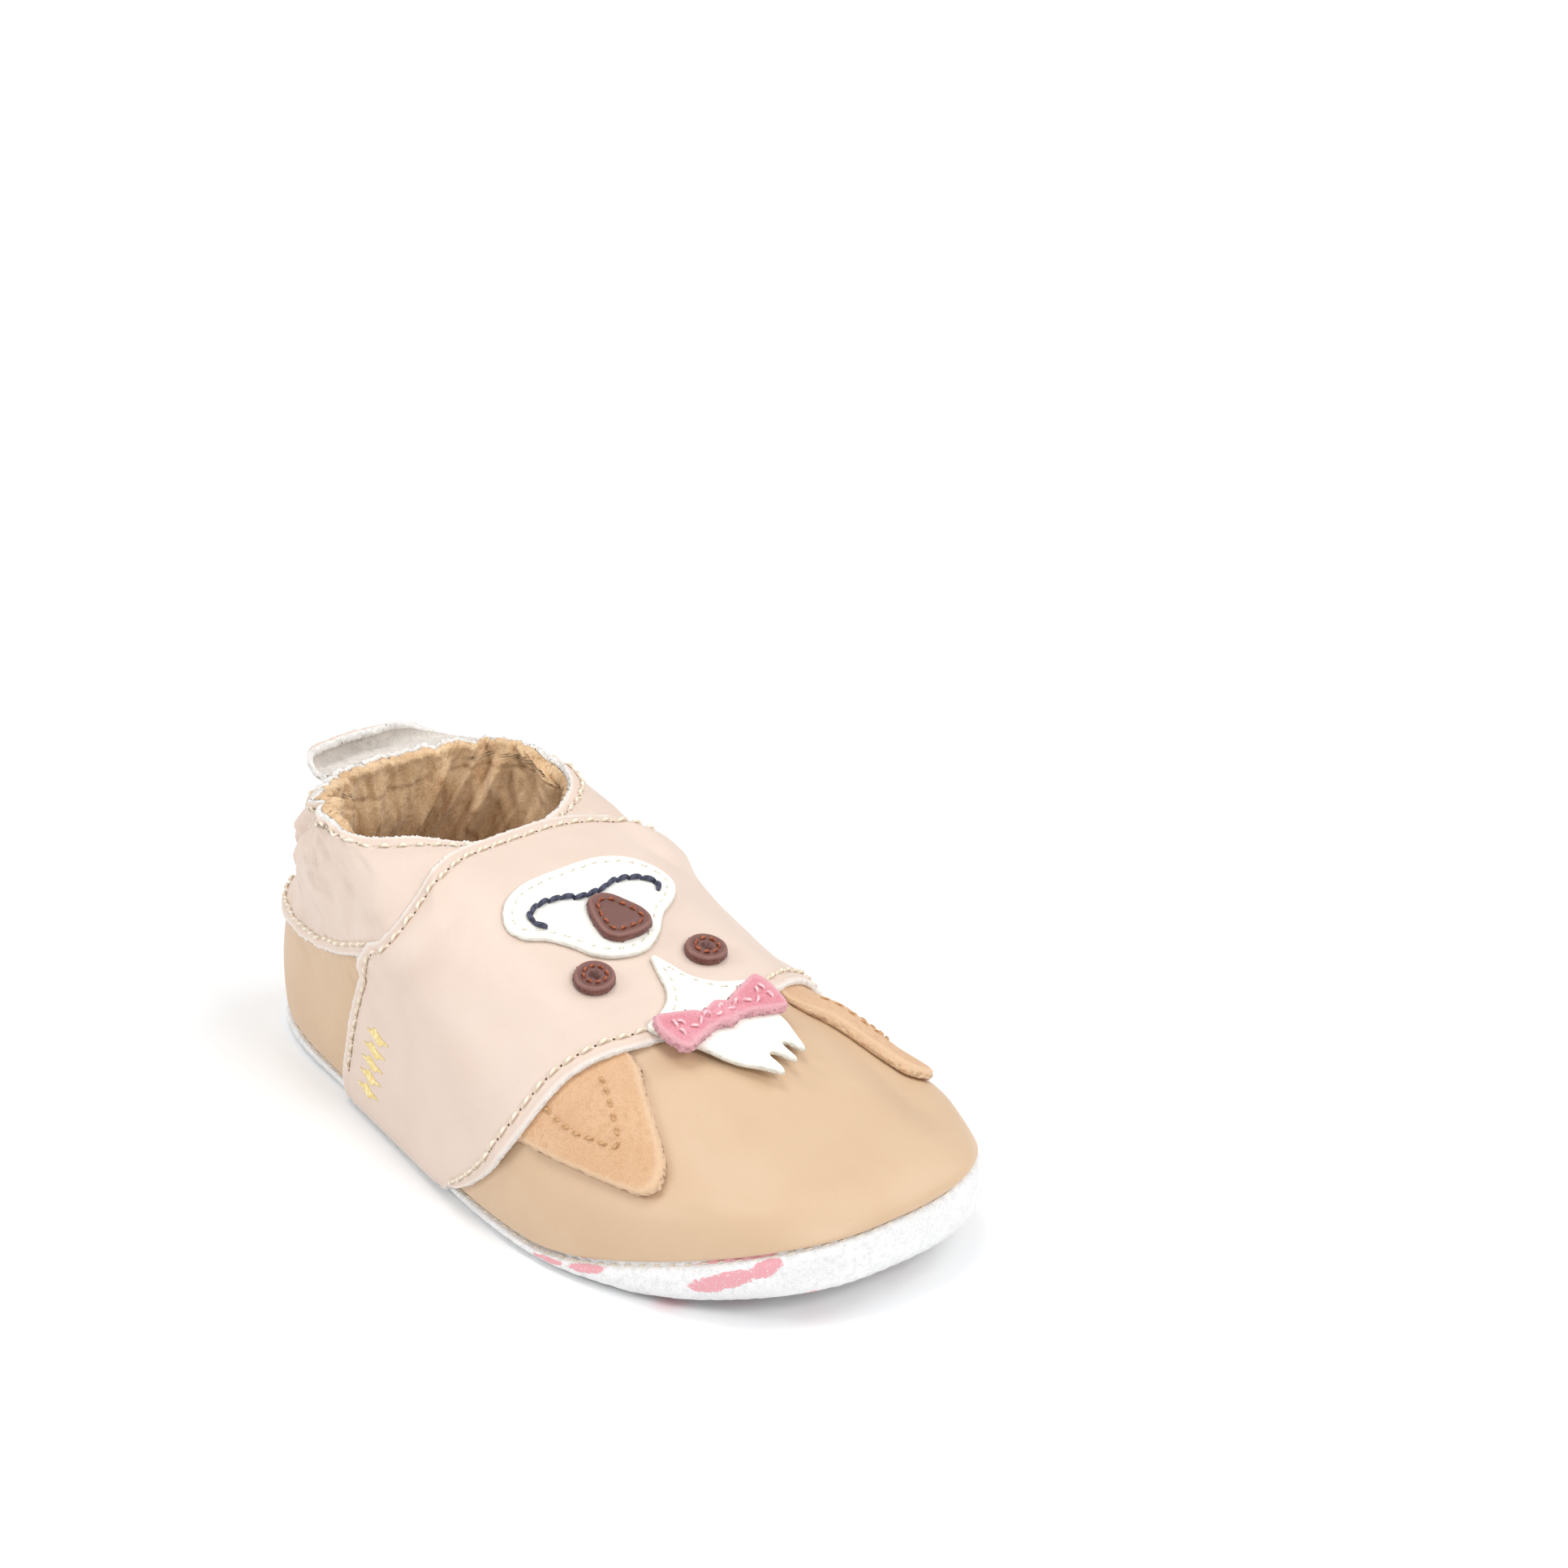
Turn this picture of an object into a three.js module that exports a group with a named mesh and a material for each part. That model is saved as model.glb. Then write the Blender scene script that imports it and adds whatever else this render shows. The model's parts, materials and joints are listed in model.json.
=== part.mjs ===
// A soft-soled baby bootie for the right foot, with an animal's face sewn on its instep.
// Millimetres, +Z up. The toe points to -Y, the heel to +Y, and the inner side of the foot is +X.
// The origin is on the floor under the middle of the bootie.
import * as THREE from "three";

// Overall size of the upper, measured at its bottom edge.
const LENGTH = 130;
const BALL_HALF_WIDTH = 32.5;
const HEEL_HALF_WIDTH = 21;
const TOE_LEAN = 1; // the toe leans this far to the inner side
const OUTLINE_TOE_POWER = 0.67; // under 1 squares the toe
const OUTLINE_HEEL_POWER = 0.84;
const OUTLINE_SIDE_POWER = 0.71;

// The seam between the sole and the upper.
const SEAM_HEIGHT = 2.2;
const TOE_SPRING = 10;

// The foot opening: an ellipse that the elastic draws in.
const RIM_CENTRE_Y = 35.6;
const RIM_HALF_WIDTH = 20.8;
const RIM_HALF_LENGTH = 16.8;

// How the upper climbs from the seam to the rim at the toe, the sides and the heel.
const BELLY = 3; // how far the lower wall leans out
const RIB = {
  rimHeight: { toe: 45, side: 44, heel: 44 },
  rise: { toe: 6, side: 8, heel: 22 }, // height of the steep lower stretch
  reach: { toe: 0.57, side: 0.4, heel: 0.28 }, // share of the way in that the top stretch covers
  drop: { toe: 16.5, side: 8, heel: 12 }, // how far that top stretch falls
};

// Leather, suede and thread.
const LEATHER = 1.2;
const SEAM_GAP = 0.3; // air between layers that are sewn face to face
const EAR_THICKNESS = 2;
const PATCH_THICKNESS = 1;
const THICK_PATCH = 2; // nose, eyes and bow
const OUTSOLE_THICKNESS = 1.6;
const PADDING_THICKNESS = 2.5;
const SOCK_THICKNESS = 1;
const THREAD = 0.6;

// Where the panels end, as angles round the outline from the toe and shares of the way up.
const OVERLAY_FRONT = { angle: 90.5, height: 0.66, power: 1.2 };
const OVERLAY_REAR = { angle: 118, height: 1, power: 1 };
const EDGE_POWER = 0.833; // how square the edges' arcs are
const LAP_ANGLE = 7; // how far a panel runs on under the overlay, round the outline
const LAP_HEIGHT = 0.05; // and up the instep
const VAMP_SIDE_END = 80; // where the vamp's arc stops, so that its corner is blunt
const THROAT_ANGLE = 12; // the quarter's two ends stop this far from the middle of the throat
const COLLAR_EDGE = { middle: 0.66, swing: 0.33 }; // height of the collar's lower edge
const COLLAR_END_ANGLE = 80;
const COLLAR_LAP = 0.03; // the collar lies this far over the quarter before the quarter sinks
const COLLAR_ROWS = 8; // rows of the quarter's grid that the collar covers
const QUARTER_ROWS = 12;
const REAR_COLUMNS = 30;

// The elastic lies in a tunnel between the quarter and the collar.
const ELASTIC_THICKNESS = 0.8;
const ELASTIC_FROM = 0.74;
const ELASTIC_TO = 0.84;
const ELASTIC_END_ANGLE = 101;

// The soles' edges, drawn in from the upper's bottom edge.
const OUTSOLE_INSET = 0.8;
const INSOLE_INSET = 5.5;
const TOE_LIFT = 4; // the underside leaves the floor by this at the toe
const SOLE_TURN = 5; // the sole turns up in this width along its edge

// The pull tab at the back of the rim: it rises, rolls back and ends in a lip.
const TAB_ANGLE = 168;
const TAB_HALF_ANGLE = 37;
const TAB_PROFILE = [[0, 0.9], [1.3, 1.6], [3.2, 1.5], [5, 1.8], [5.9, 2.8], [5.6, 4]]; // out, up

// The face, in the view from above. Halves are mirrored in x.
const EYE = { x: 9.6, y: -12, radius: 3.3, hole: 0.6 };
const MUZZLE_HALF = [[0, 8.2], [6, 7.8], [11.5, 6.2], [14.6, 3.4], [14.5, 0.8], [11.5, -2.4],
  [8, -5.2], [5, -8.3], [0, -9.8]];
const NOSE_HALF = [[0, 1.4], [2.2, 0.2], [4, -2.8], [4.8, -5.6], [3.6, -7.6], [0, -8.2]];
const BOW_HALF = [[0, -24.1], [2, -24.4], [3.2, -25.3], [7, -23.8], [10.4, -22.9], [10.9, -26.8],
  [10.4, -30.7], [7, -29.9], [3.2, -28.6], [2, -29.5], [0, -29.8]];
const TUFT = [[0, -11.6], [1.6, -14.5], [3.2, -19], [7.5, -21.6], [10.5, -22.6], [9, -26.5],
  [6.9, -31.5], [6.6, -35], [5.2, -37.8], [3, -35.6], [2, -39.3], [-0.2, -36.4], [-1.8, -40],
  [-4.6, -36.4], [-6.4, -32], [-9, -26.5], [-10.5, -22.6], [-7.5, -21.6], [-3.2, -19], [-1.6, -14.5]];
const MOUTH = [[-10.6, -0.6], [-11.6, 1], [-10.8, 2.7], [-8, 3.6], [-4.6, 3.2], [0, 2.3],
  [4.6, 3.2], [8, 3.4], [10.6, 2.4], [11.6, 0.8], [10.6, -0.8]];
const BOW_ZIGZAG = [[-8.6, -25.2], [-6, -28.6], [-3.4, -26.2], [0, -28.2], [3.4, -26.2],
  [6, -28.6], [8.6, -25.2]];

// An ear on the outer side: its root follows the overlay's front edge, and its free edge and
// stitching are angles and heights on the upper.
const EAR_ROOT = { from: -0.63, to: -0.18, points: 5, gap: 1.6 };
const EAR_FREE_EDGE = [[32, 0.53], [38, 0.42], [43, 0.335], [49, 0.29], [57, 0.287], [66, 0.315], [72, 0.34]];
const EAR_CENTRE = [50, 0.41];
const EAR_STITCHES = [[42, 0.53], [45, 0.47], [49, 0.4], [54, 0.385], [60, 0.4], [65, 0.42]];
const FRONT_ROW_STOP = 0.34; // the overlay's front row of stitches stops here, beside the tuft
const EAR_RAISED = 3; // the inner ear stands off the toe by this many degrees

const rad = THREE.MathUtils.degToRad;
const mix = THREE.MathUtils.lerp;
const signedPower = (a, p) => Math.sign(a) * Math.abs(a) ** p;
const ease = (from, to, x) => {
  const k = THREE.MathUtils.clamp((x - from) / (to - from), 0, 1);
  return k * k * (3 - 2 * k);
};

// The upper's bottom edge at angle t: 0 at the toe, a quarter turn at the inner side.
function outline(t) {
  const c = Math.cos(t);
  const y = (-LENGTH / 2) * signedPower(c, c > 0 ? OUTLINE_TOE_POWER : OUTLINE_HEEL_POWER);
  const half = mix(HEEL_HALF_WIDTH, BALL_HALF_WIDTH, ease(0.34 * LENGTH, -0.24 * LENGTH, y));
  const x = half * signedPower(Math.sin(t), OUTLINE_SIDE_POWER) + TOE_LEAN * ease(0, -LENGTH / 2, y);
  return new THREE.Vector2(x, y);
}

function outlineNormal(t) {
  const step = 1e-3;
  const along = outline(t + step).sub(outline(t - step)).normalize();
  return new THREE.Vector2(along.y, -along.x);
}

const seamHeight = (y) => SEAM_HEIGHT + TOE_SPRING * ease(-0.15 * LENGTH, -0.5 * LENGTH, y);

// A value that a rib takes at the toe, the sides and the heel, eased between them.
function ribValue(name, t) {
  const c = Math.cos(t);
  const toe = Math.max(c, 0) ** 2;
  const heel = Math.max(-c, 0) ** 2;
  const { toe: a, side: b, heel: d } = RIB[name];
  return a * toe + b * (1 - toe - heel) + d * heel;
}

// A point on the upper: t goes round it, and v climbs from the seam at 0 to the rim at 1.
function upper(t, v) {
  const foot = outline(t);
  const out = outlineNormal(t);
  const z = seamHeight(foot.y);
  const rim = new THREE.Vector3(RIM_HALF_WIDTH * Math.sin(t),
    RIM_CENTRE_Y - RIM_HALF_LENGTH * Math.cos(t), ribValue("rimHeight", t));
  const reach = ribValue("reach", t);
  return new THREE.CubicBezierCurve3(
    new THREE.Vector3(foot.x, foot.y, z),
    new THREE.Vector3(foot.x + out.x * BELLY, foot.y + out.y * BELLY, z + ribValue("rise", t)),
    new THREE.Vector3(mix(rim.x, foot.x, reach), mix(rim.y, foot.y, reach), rim.z - ribValue("drop", t)),
    rim,
  ).getPoint(v);
}

function upperNormal(t, v) {
  const step = 1e-3;
  const low = Math.min(v, 1 - step);
  const round = upper(t + step, v).sub(upper(t - step, v));
  const up = upper(t, low + step).sub(upper(t, low));
  return round.cross(up).normalize();
}

const offUpper = (t, v, off) => upper(t, v).addScaledVector(upperNormal(t, v), off);

// How far past an edge's arc a place lies: 1 on the arc, more behind it.
const past = ({ angle, height, power }, t, v) =>
  (Math.abs(t) / rad(angle)) ** (2 / EDGE_POWER) + (v / height) ** (2 / power);

// The upper's surface is what shows. A panel sinks by its cover's thickness where it is covered,
// but not at the seam to the sole.
const LAYER = LEATHER + SEAM_GAP;
const vampOutside = (t, v) =>
  -LAYER * ease(1.03, 1.3, past(OVERLAY_FRONT, t, v)) * ease(0.05, 0.25, v);
const collarLow = (t) => COLLAR_EDGE.middle + COLLAR_EDGE.swing * Math.cos(t);
const underCollar = (t, v) => -LAYER * ease(COLLAR_LAP, COLLAR_LAP + 0.12, v - collarLow(t));
// Behind, the overlay rises onto the quarter, and further up onto the collar.
function overlayInside(t, v) {
  const collarTop = underCollar(t, v) + LAYER * ease(-0.09, -0.02, v - collarLow(t));
  const behind = ease(0.7, 0.86, past(OVERLAY_REAR, t, v));
  return 1.5 * SEAM_GAP + mix(vampOutside(t, v), collarTop + SEAM_GAP, behind);
}
const onOverlayTop = (t, v, off) => offUpper(t, v, overlayInside(t, v) + LAYER + SEAM_GAP + off);

// The angle and height on the upper of the point over (x, y), by Newton's method.
function under(x, y) {
  const step = 1e-4;
  let t = Math.atan2(x, RIM_CENTRE_Y - y);
  let v = 1 - 0.9 * (RIM_CENTRE_Y - RIM_HALF_LENGTH - y) / LENGTH;
  for (let turn = 0; turn < 30; turn++) {
    const here = upper(t, v);
    const dt = upper(t + step, v).sub(here).divideScalar(step);
    const dv = upper(t, v + step).sub(here).divideScalar(step);
    const [ex, ey] = [x - here.x, y - here.y];
    const scale = dt.x * dv.y - dt.y * dv.x;
    t += THREE.MathUtils.clamp((ex * dv.y - ey * dv.x) / scale, -0.2, 0.2);
    v += THREE.MathUtils.clamp((dt.x * ey - dt.y * ex) / scale, -0.1, 0.1);
  }
  return [t, v];
}

// A closed body from points and triangles, turned inside out if its faces point in.
function body(points, triangles) {
  let volume = 0;
  for (const [a, b, c] of triangles) volume += points[a].dot(points[b].clone().cross(points[c]));
  const index = triangles.flatMap(([a, b, c]) => (volume < 0 ? [a, c, b] : [a, b, c]));
  const geometry = new THREE.BufferGeometry().setFromPoints(points).setIndex(index);
  geometry.computeVertexNormals();
  return geometry;
}

// A sheet of leather: place(u, w, face) puts a grid on its outer face (1) and its inner face (0).
function sheet(columns, rows, place) {
  const points = [];
  for (const face of [1, 0])
    for (let j = 0; j <= rows; j++)
      for (let i = 0; i <= columns; i++) points.push(place(i / columns, j / rows, face));
  const at = (face, i, j) => (1 - face) * (columns + 1) * (rows + 1) + j * (columns + 1) + i;
  const triangles = [];
  const quad = (a, b, c, d) => triangles.push([a, b, c], [a, c, d]);
  for (let j = 0; j < rows; j++)
    for (let i = 0; i < columns; i++) {
      quad(at(1, i, j), at(1, i + 1, j), at(1, i + 1, j + 1), at(1, i, j + 1));
      quad(at(0, i, j), at(0, i, j + 1), at(0, i + 1, j + 1), at(0, i + 1, j));
    }
  for (let i = 0; i < columns; i++) {
    quad(at(0, i, 0), at(0, i + 1, 0), at(1, i + 1, 0), at(1, i, 0));
    quad(at(1, i, rows), at(1, i + 1, rows), at(0, i + 1, rows), at(0, i, rows));
  }
  for (let j = 0; j < rows; j++) {
    quad(at(1, 0, j), at(1, 0, j + 1), at(0, 0, j + 1), at(0, 0, j));
    quad(at(0, columns, j), at(0, columns, j + 1), at(1, columns, j + 1), at(1, columns, j));
  }
  return body(points, triangles);
}

// A round sheet: place(k, r, face) puts rings round a middle point, r from 0 to 1.
function disc(count, rings, place) {
  const points = [];
  for (const face of [1, 0]) {
    points.push(place(0, 0, face));
    for (let j = 1; j <= rings; j++)
      for (let i = 0; i < count; i++) points.push(place(i / count, j / rings, face));
  }
  const middle = (face) => (1 - face) * (1 + count * rings);
  const at = (face, i, j) => middle(face) + 1 + (j - 1) * count + (i % count);
  const triangles = [];
  const quad = (a, b, c, d) => triangles.push([a, b, c], [a, c, d]);
  for (let i = 0; i < count; i++) {
    triangles.push([middle(1), at(1, i, 1), at(1, i + 1, 1)], [middle(0), at(0, i + 1, 1), at(0, i, 1)]);
    for (let j = 1; j < rings; j++) {
      quad(at(1, i, j), at(1, i, j + 1), at(1, i + 1, j + 1), at(1, i + 1, j));
      quad(at(0, i, j), at(0, i + 1, j), at(0, i + 1, j + 1), at(0, i, j + 1));
    }
    quad(at(1, i, rings), at(0, i, rings), at(0, i + 1, rings), at(1, i + 1, rings));
  }
  return body(points, triangles);
}

// A run of thread through the points.
function thread(points, steps) {
  const section = new THREE.Shape();
  section.absarc(0, 0, THREAD / 2, 0, 2 * Math.PI);
  return new THREE.ExtrudeGeometry(section, {
    steps, bevelEnabled: false, curveSegments: 2, extrudePath: new THREE.CatmullRomCurve3(points),
  });
}

const material = (color, roughness) => new THREE.MeshStandardMaterial({ color, roughness, metalness: 0 });
const MATERIALS = {
  tanLeather: material(0xd9b68f, 0.5),
  blushLeather: material(0xe3cdbf, 0.5),
  whiteSuede: material(0xefeeea, 0.95),
  orangeSuede: material(0xe0ac7a, 0.95),
  creamLeather: material(0xf7f4ea, 0.6),
  brownFelt: material(0x6b4640, 0.8),
  pinkSuede: material(0xee9fae, 0.9),
  foam: material(0xf2e6c8, 0.9),
  elastic: material(0xf4f4f2, 0.8),
  beigeThread: material(0xd8c2a4, 0.7),
  creamThread: material(0xf2efe2, 0.7),
  navyThread: material(0x3b3d55, 0.6),
  rustThread: material(0x9c5236, 0.6),
  pinkThread: material(0xf8d3d6, 0.6),
};

const bootie = new THREE.Group();
function add(name, geometry, look, parent = bootie) {
  const mesh = new THREE.Mesh(geometry, MATERIALS[look]);
  mesh.name = name;
  parent.add(mesh);
}

// Soles. The underside is flat, rises a little at the toe and turns up along the edge.
function soleUnderside(t, radius) {
  const [edge, full] = [outline(t), outline(t).length()];
  const lift = TOE_LIFT * ease(-0.15 * LENGTH, -0.5 * LENGTH, (edge.y * radius) / full);
  const rim = seamHeight(edge.y) - SEAM_GAP - OUTSOLE_THICKNESS;
  return mix(lift, rim, ease(full - SOLE_TURN, full, radius));
}
function soleLayer(inset, bottom, thickness, count, rings) {
  return disc(count, rings, (k, r, face) => {
    const t = 2 * Math.PI * k;
    const edge = outline(t).addScaledVector(outlineNormal(t), -inset);
    const turn = Math.max(SOLE_TURN - inset, 0);
    const radius = edge.length() - turn * (1 - THREE.MathUtils.clamp(2 * r - 1, 0, 1));
    const flat = edge.clone().setLength(turn > 0 ? radius * Math.min(2 * r, 1) : radius * r);
    return new THREE.Vector3(flat.x, flat.y, soleUnderside(t, flat.length()) + bottom + thickness * face);
  });
}
const PADDING_BOTTOM = OUTSOLE_THICKNESS + SEAM_GAP;
const SOCK_BOTTOM = PADDING_BOTTOM + PADDING_THICKNESS + SEAM_GAP;
add("outsole", soleLayer(OUTSOLE_INSET, 0, OUTSOLE_THICKNESS, 48, 6), "whiteSuede");
add("sole_padding", soleLayer(INSOLE_INSET, PADDING_BOTTOM, PADDING_THICKNESS, 32, 3), "foam");
add("insole_sock", soleLayer(INSOLE_INSET, SOCK_BOTTOM, SOCK_THICKNESS, 32, 3), "whiteSuede");

// The panels of the upper. An edge is an arc over the instep, from sole to sole, as s goes from -1 to 1.
function edge({ angle, height, power }, s) {
  const turn = (s * Math.PI) / 2;
  return [rad(angle) * signedPower(Math.sin(turn), EDGE_POWER), height * Math.abs(Math.cos(turn)) ** power];
}
function onOverlay(s, w, off) {
  const [front, rear] = [edge(OVERLAY_FRONT, s), edge(OVERLAY_REAR, s)];
  const [t, v] = [mix(front[0], rear[0], w), mix(front[1], rear[1], w)];
  return offUpper(t, v, overlayInside(t, v) + off);
}
add("face_overlay", sheet(28, 8, (u, w, face) => onOverlay(2 * u - 1, w, LEATHER * face)), "blushLeather");

const VAMP_REAR = {
  angle: OVERLAY_FRONT.angle + LAP_ANGLE,
  height: OVERLAY_FRONT.height + LAP_HEIGHT,
  power: OVERLAY_FRONT.power,
};
add("toe_vamp", sheet(28, 7, (u, w, face) => {
  const [t, v] = edge(VAMP_REAR, ((2 * u - 1) * VAMP_SIDE_END) / 90);
  return offUpper(t, v * w, vampOutside(t, v * w) + LEATHER * (face - 1));
}), "tanLeather");

// The quarter and the collar share one grid, in which the collar's lower edge is a row.
function quarterEnd(v) {
  const arc = (1 - v ** 2) ** (EDGE_POWER / 2);
  return rad(Math.max(THROAT_ANGLE, (OVERLAY_REAR.angle - LAP_ANGLE) * arc));
}
function rearPlace(u, w) {
  const collarRow = 1 - COLLAR_ROWS / QUARTER_ROWS;
  const height = (t) => (w < collarRow ? (collarLow(t) * w) / collarRow
    : mix(collarLow(t), 1, (w - collarRow) / (1 - collarRow)));
  const start = rad(COLLAR_END_ANGLE);
  const end = quarterEnd(height(start));
  return [mix(end, 2 * Math.PI - end, u), height(mix(start, 2 * Math.PI - start, u))];
}
// The quarter sinks further along the elastic.
function elasticTunnel(t, v) {
  const across = ease(ELASTIC_FROM - 0.1, ELASTIC_FROM - 0.02, v) - ease(ELASTIC_TO + 0.02, 1, v);
  const along = ease(rad(ELASTIC_END_ANGLE - 14), rad(ELASTIC_END_ANGLE - 4), Math.min(t, 2 * Math.PI - t));
  return (ELASTIC_THICKNESS + 2 * SEAM_GAP) * across * along;
}
const quarterOutside = (t, v) => underCollar(t, v) - elasticTunnel(t, v);
add("heel_quarter", sheet(REAR_COLUMNS, QUARTER_ROWS, (u, w, face) => {
  const [t, v] = rearPlace(u, w);
  return offUpper(t, v, quarterOutside(t, v) + LEATHER * (face - 1));
}), "tanLeather");

// The collar lies on the quarter, and the elastic lies between them.
function onCollar(u, w, off) {
  const [t, v] = rearPlace(u, 1 - ((1 - w) * COLLAR_ROWS) / QUARTER_ROWS);
  return offUpper(t, v, underCollar(t, v) + SEAM_GAP + off);
}
add("ankle_collar", sheet(REAR_COLUMNS, COLLAR_ROWS, (u, w, face) => onCollar(u, w, LEATHER * face)),
  "blushLeather");
add("elastic_band", sheet(36, 2, (u, w, face) => {
  const t = rad(mix(ELASTIC_END_ANGLE, 360 - ELASTIC_END_ANGLE, u));
  const v = mix(ELASTIC_FROM, ELASTIC_TO, w);
  return offUpper(t, v, underCollar(t, v) - ELASTIC_THICKNESS * (1 - face));
}), "elastic");

// The pull tab follows the rim and rolls back along its profile.
const tabCurve = new THREE.SplineCurve(TAB_PROFILE.map(([out, up]) => new THREE.Vector2(out, up)));
add("heel_tab", sheet(12, 6, (u, w, face) => {
  const t = rad(TAB_ANGLE + TAB_HALF_ANGLE * (2 * u - 1));
  const width = 1 - Math.abs(2 * u - 1) ** 3; // the tab is full in the middle and low at its ends
  const reach = mix(0.25, 1, width) * w;
  const [at, along] = [tabCurve.getPoint(reach), tabCurve.getTangent(reach)];
  const out = new THREE.Vector3(Math.sin(t), -Math.cos(t), 0);
  const [outward, up] = [at.x + along.y * LEATHER * (face - 0.5), at.y - along.x * LEATHER * (face - 0.5)];
  return offUpper(t, 1, SEAM_GAP + LEATHER / 2).addScaledVector(out, outward).add(new THREE.Vector3(0, 0, up));
}), "blushLeather");

// Patches are cut flat and laid on the overlay.
const mirrored = (half) => [...half, ...half.slice(1, -1).reverse().map(([x, y]) => [-x, y])];
const ring = (points) => new THREE.CatmullRomCurve3(
  points.map(([x, y]) => new THREE.Vector3(x, y, 0)), true, "centripetal");
function onFace(x, y, off) {
  const [t, v] = under(x, y);
  return onOverlayTop(t, v, off);
}
function middleOf(points) {
  const sum = points.reduce(([a, b], [x, y]) => [a + x, b + y], [0, 0]);
  return [sum[0] / points.length, sum[1] / points.length];
}
function patch(points, count, rings, off, thickness) {
  const [curve, [cx, cy]] = [ring(points), middleOf(points)];
  return disc(count, rings, (k, r, face) => {
    const at = curve.getPoint(k);
    return onFace(mix(cx, at.x, r), mix(cy, at.y, r), off + thickness * face);
  });
}
// A row of stitches just inside a patch's outline, with a small gap where it starts.
function patchRow(points, inset, off, count) {
  const [curve, [cx, cy]] = [ring(points), middleOf(points)];
  const row = Array.from({ length: count + 1 }, (_, i) => {
    const at = curve.getPoint((i / count) * 0.97);
    const away = new THREE.Vector2(at.x - cx, at.y - cy);
    away.setLength(away.length() - inset);
    return onFace(cx + away.x, cy + away.y, off + SEAM_GAP + THREAD / 2);
  });
  return thread(row, 2 * count);
}
const runOnFace = (points, off, steps) =>
  thread(points.map(([x, y]) => onFace(x, y, off + SEAM_GAP + THREAD / 2)), steps);

const SECOND_LEVEL = PATCH_THICKNESS + SEAM_GAP + THREAD + SEAM_GAP; // on a patch and its own stitches
add("muzzle_patch", patch(mirrored(MUZZLE_HALF), 28, 3, 0, PATCH_THICKNESS), "creamLeather");
add("muzzle_stitching", patchRow(mirrored(MUZZLE_HALF), 1.3, PATCH_THICKNESS, 18), "creamThread");
add("mouth_embroidery", runOnFace(MOUTH, PATCH_THICKNESS, 20), "navyThread");
add("nose_patch", patch(mirrored(NOSE_HALF), 18, 2, SECOND_LEVEL, THICK_PATCH), "brownFelt");
add("nose_stitching", patchRow(mirrored(NOSE_HALF), 1.4, SECOND_LEVEL + THICK_PATCH, 8), "rustThread");
add("hair_tuft", patch(TUFT, 40, 3, 0, PATCH_THICKNESS), "creamLeather");
add("hair_stitching", runOnFace([[-6, -23], [-2.2, -20], [0, -14.5], [2.2, -20], [6, -23]],
  PATCH_THICKNESS, 14), "creamThread");
add("bow_patch", patch(mirrored(BOW_HALF), 36, 3, SECOND_LEVEL, THICK_PATCH), "pinkSuede");
add("bow_stitching", runOnFace(BOW_ZIGZAG, SECOND_LEVEL + THICK_PATCH, 18), "pinkThread");

// An eye is a thick round patch with an awl hole, and a ring of stitches.
for (const [side, name] of [[-1, "outer"], [1, "inner"]]) {
  const round = new THREE.Shape().absarc(0, 0, EYE.radius, 0, 2 * Math.PI);
  round.holes.push(new THREE.Path().absarc(0, 0, EYE.hole, 0, 2 * Math.PI, true));
  const at = new THREE.Group();
  const place = under(side * EYE.x, EYE.y);
  at.position.copy(onFace(side * EYE.x, EYE.y, 0));
  at.quaternion.setFromUnitVectors(new THREE.Vector3(0, 0, 1), upperNormal(...place));
  bootie.add(at);
  add(`eye_patch_${name}`, new THREE.ExtrudeGeometry(round,
    { depth: THICK_PATCH, bevelEnabled: false, curveSegments: 9 }), "brownFelt", at);
  const ringRadius = EYE.radius * 0.55;
  const row = Array.from({ length: 9 }, (_, i) => {
    const a = (i / 8) * 2 * Math.PI * 0.94;
    return new THREE.Vector3(ringRadius * Math.cos(a), ringRadius * Math.sin(a),
      THICK_PATCH + SEAM_GAP + THREAD / 2);
  });
  add(`eye_stitching_${name}`, thread(row, 12), "rustThread", at);
}

// The ears: each is sewn in at the overlay's front edge and swings on that seam.
const onEar = (side, t, v, off) => offUpper(side * t, v, 3 * SEAM_GAP + off);
// Moves a place on the upper by a small vector that lies in the surface.
function walk([t, v], by) {
  const step = 1e-4;
  const here = upper(t, v);
  const [dt, dv] = [upper(t + step, v).sub(here).divideScalar(step), upper(t, v + step).sub(here).divideScalar(step)];
  const [a, b, c] = [dt.dot(dt), dt.dot(dv), dv.dot(dv)];
  const scale = a * c - b * b;
  return [t + (c * dt.dot(by) - b * dv.dot(by)) / scale, v + (a * dv.dot(by) - b * dt.dot(by)) / scale];
}
function earRoot(k) {
  const s = mix(EAR_ROOT.from, EAR_ROOT.to, k);
  const at = edge(OVERLAY_FRONT, s);
  const along = upper(...edge(OVERLAY_FRONT, s + 0.01)).sub(upper(...at));
  const forward = upperNormal(...at).cross(along).setLength(-EAR_ROOT.gap);
  const [t, v] = walk(at, forward);
  return [-t, v];
}
const earPlaces = [
  ...Array.from({ length: EAR_ROOT.points }, (_, i) => earRoot(i / (EAR_ROOT.points - 1))),
  ...EAR_FREE_EDGE.map(([angle, v]) => [rad(angle), v]),
];
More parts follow.
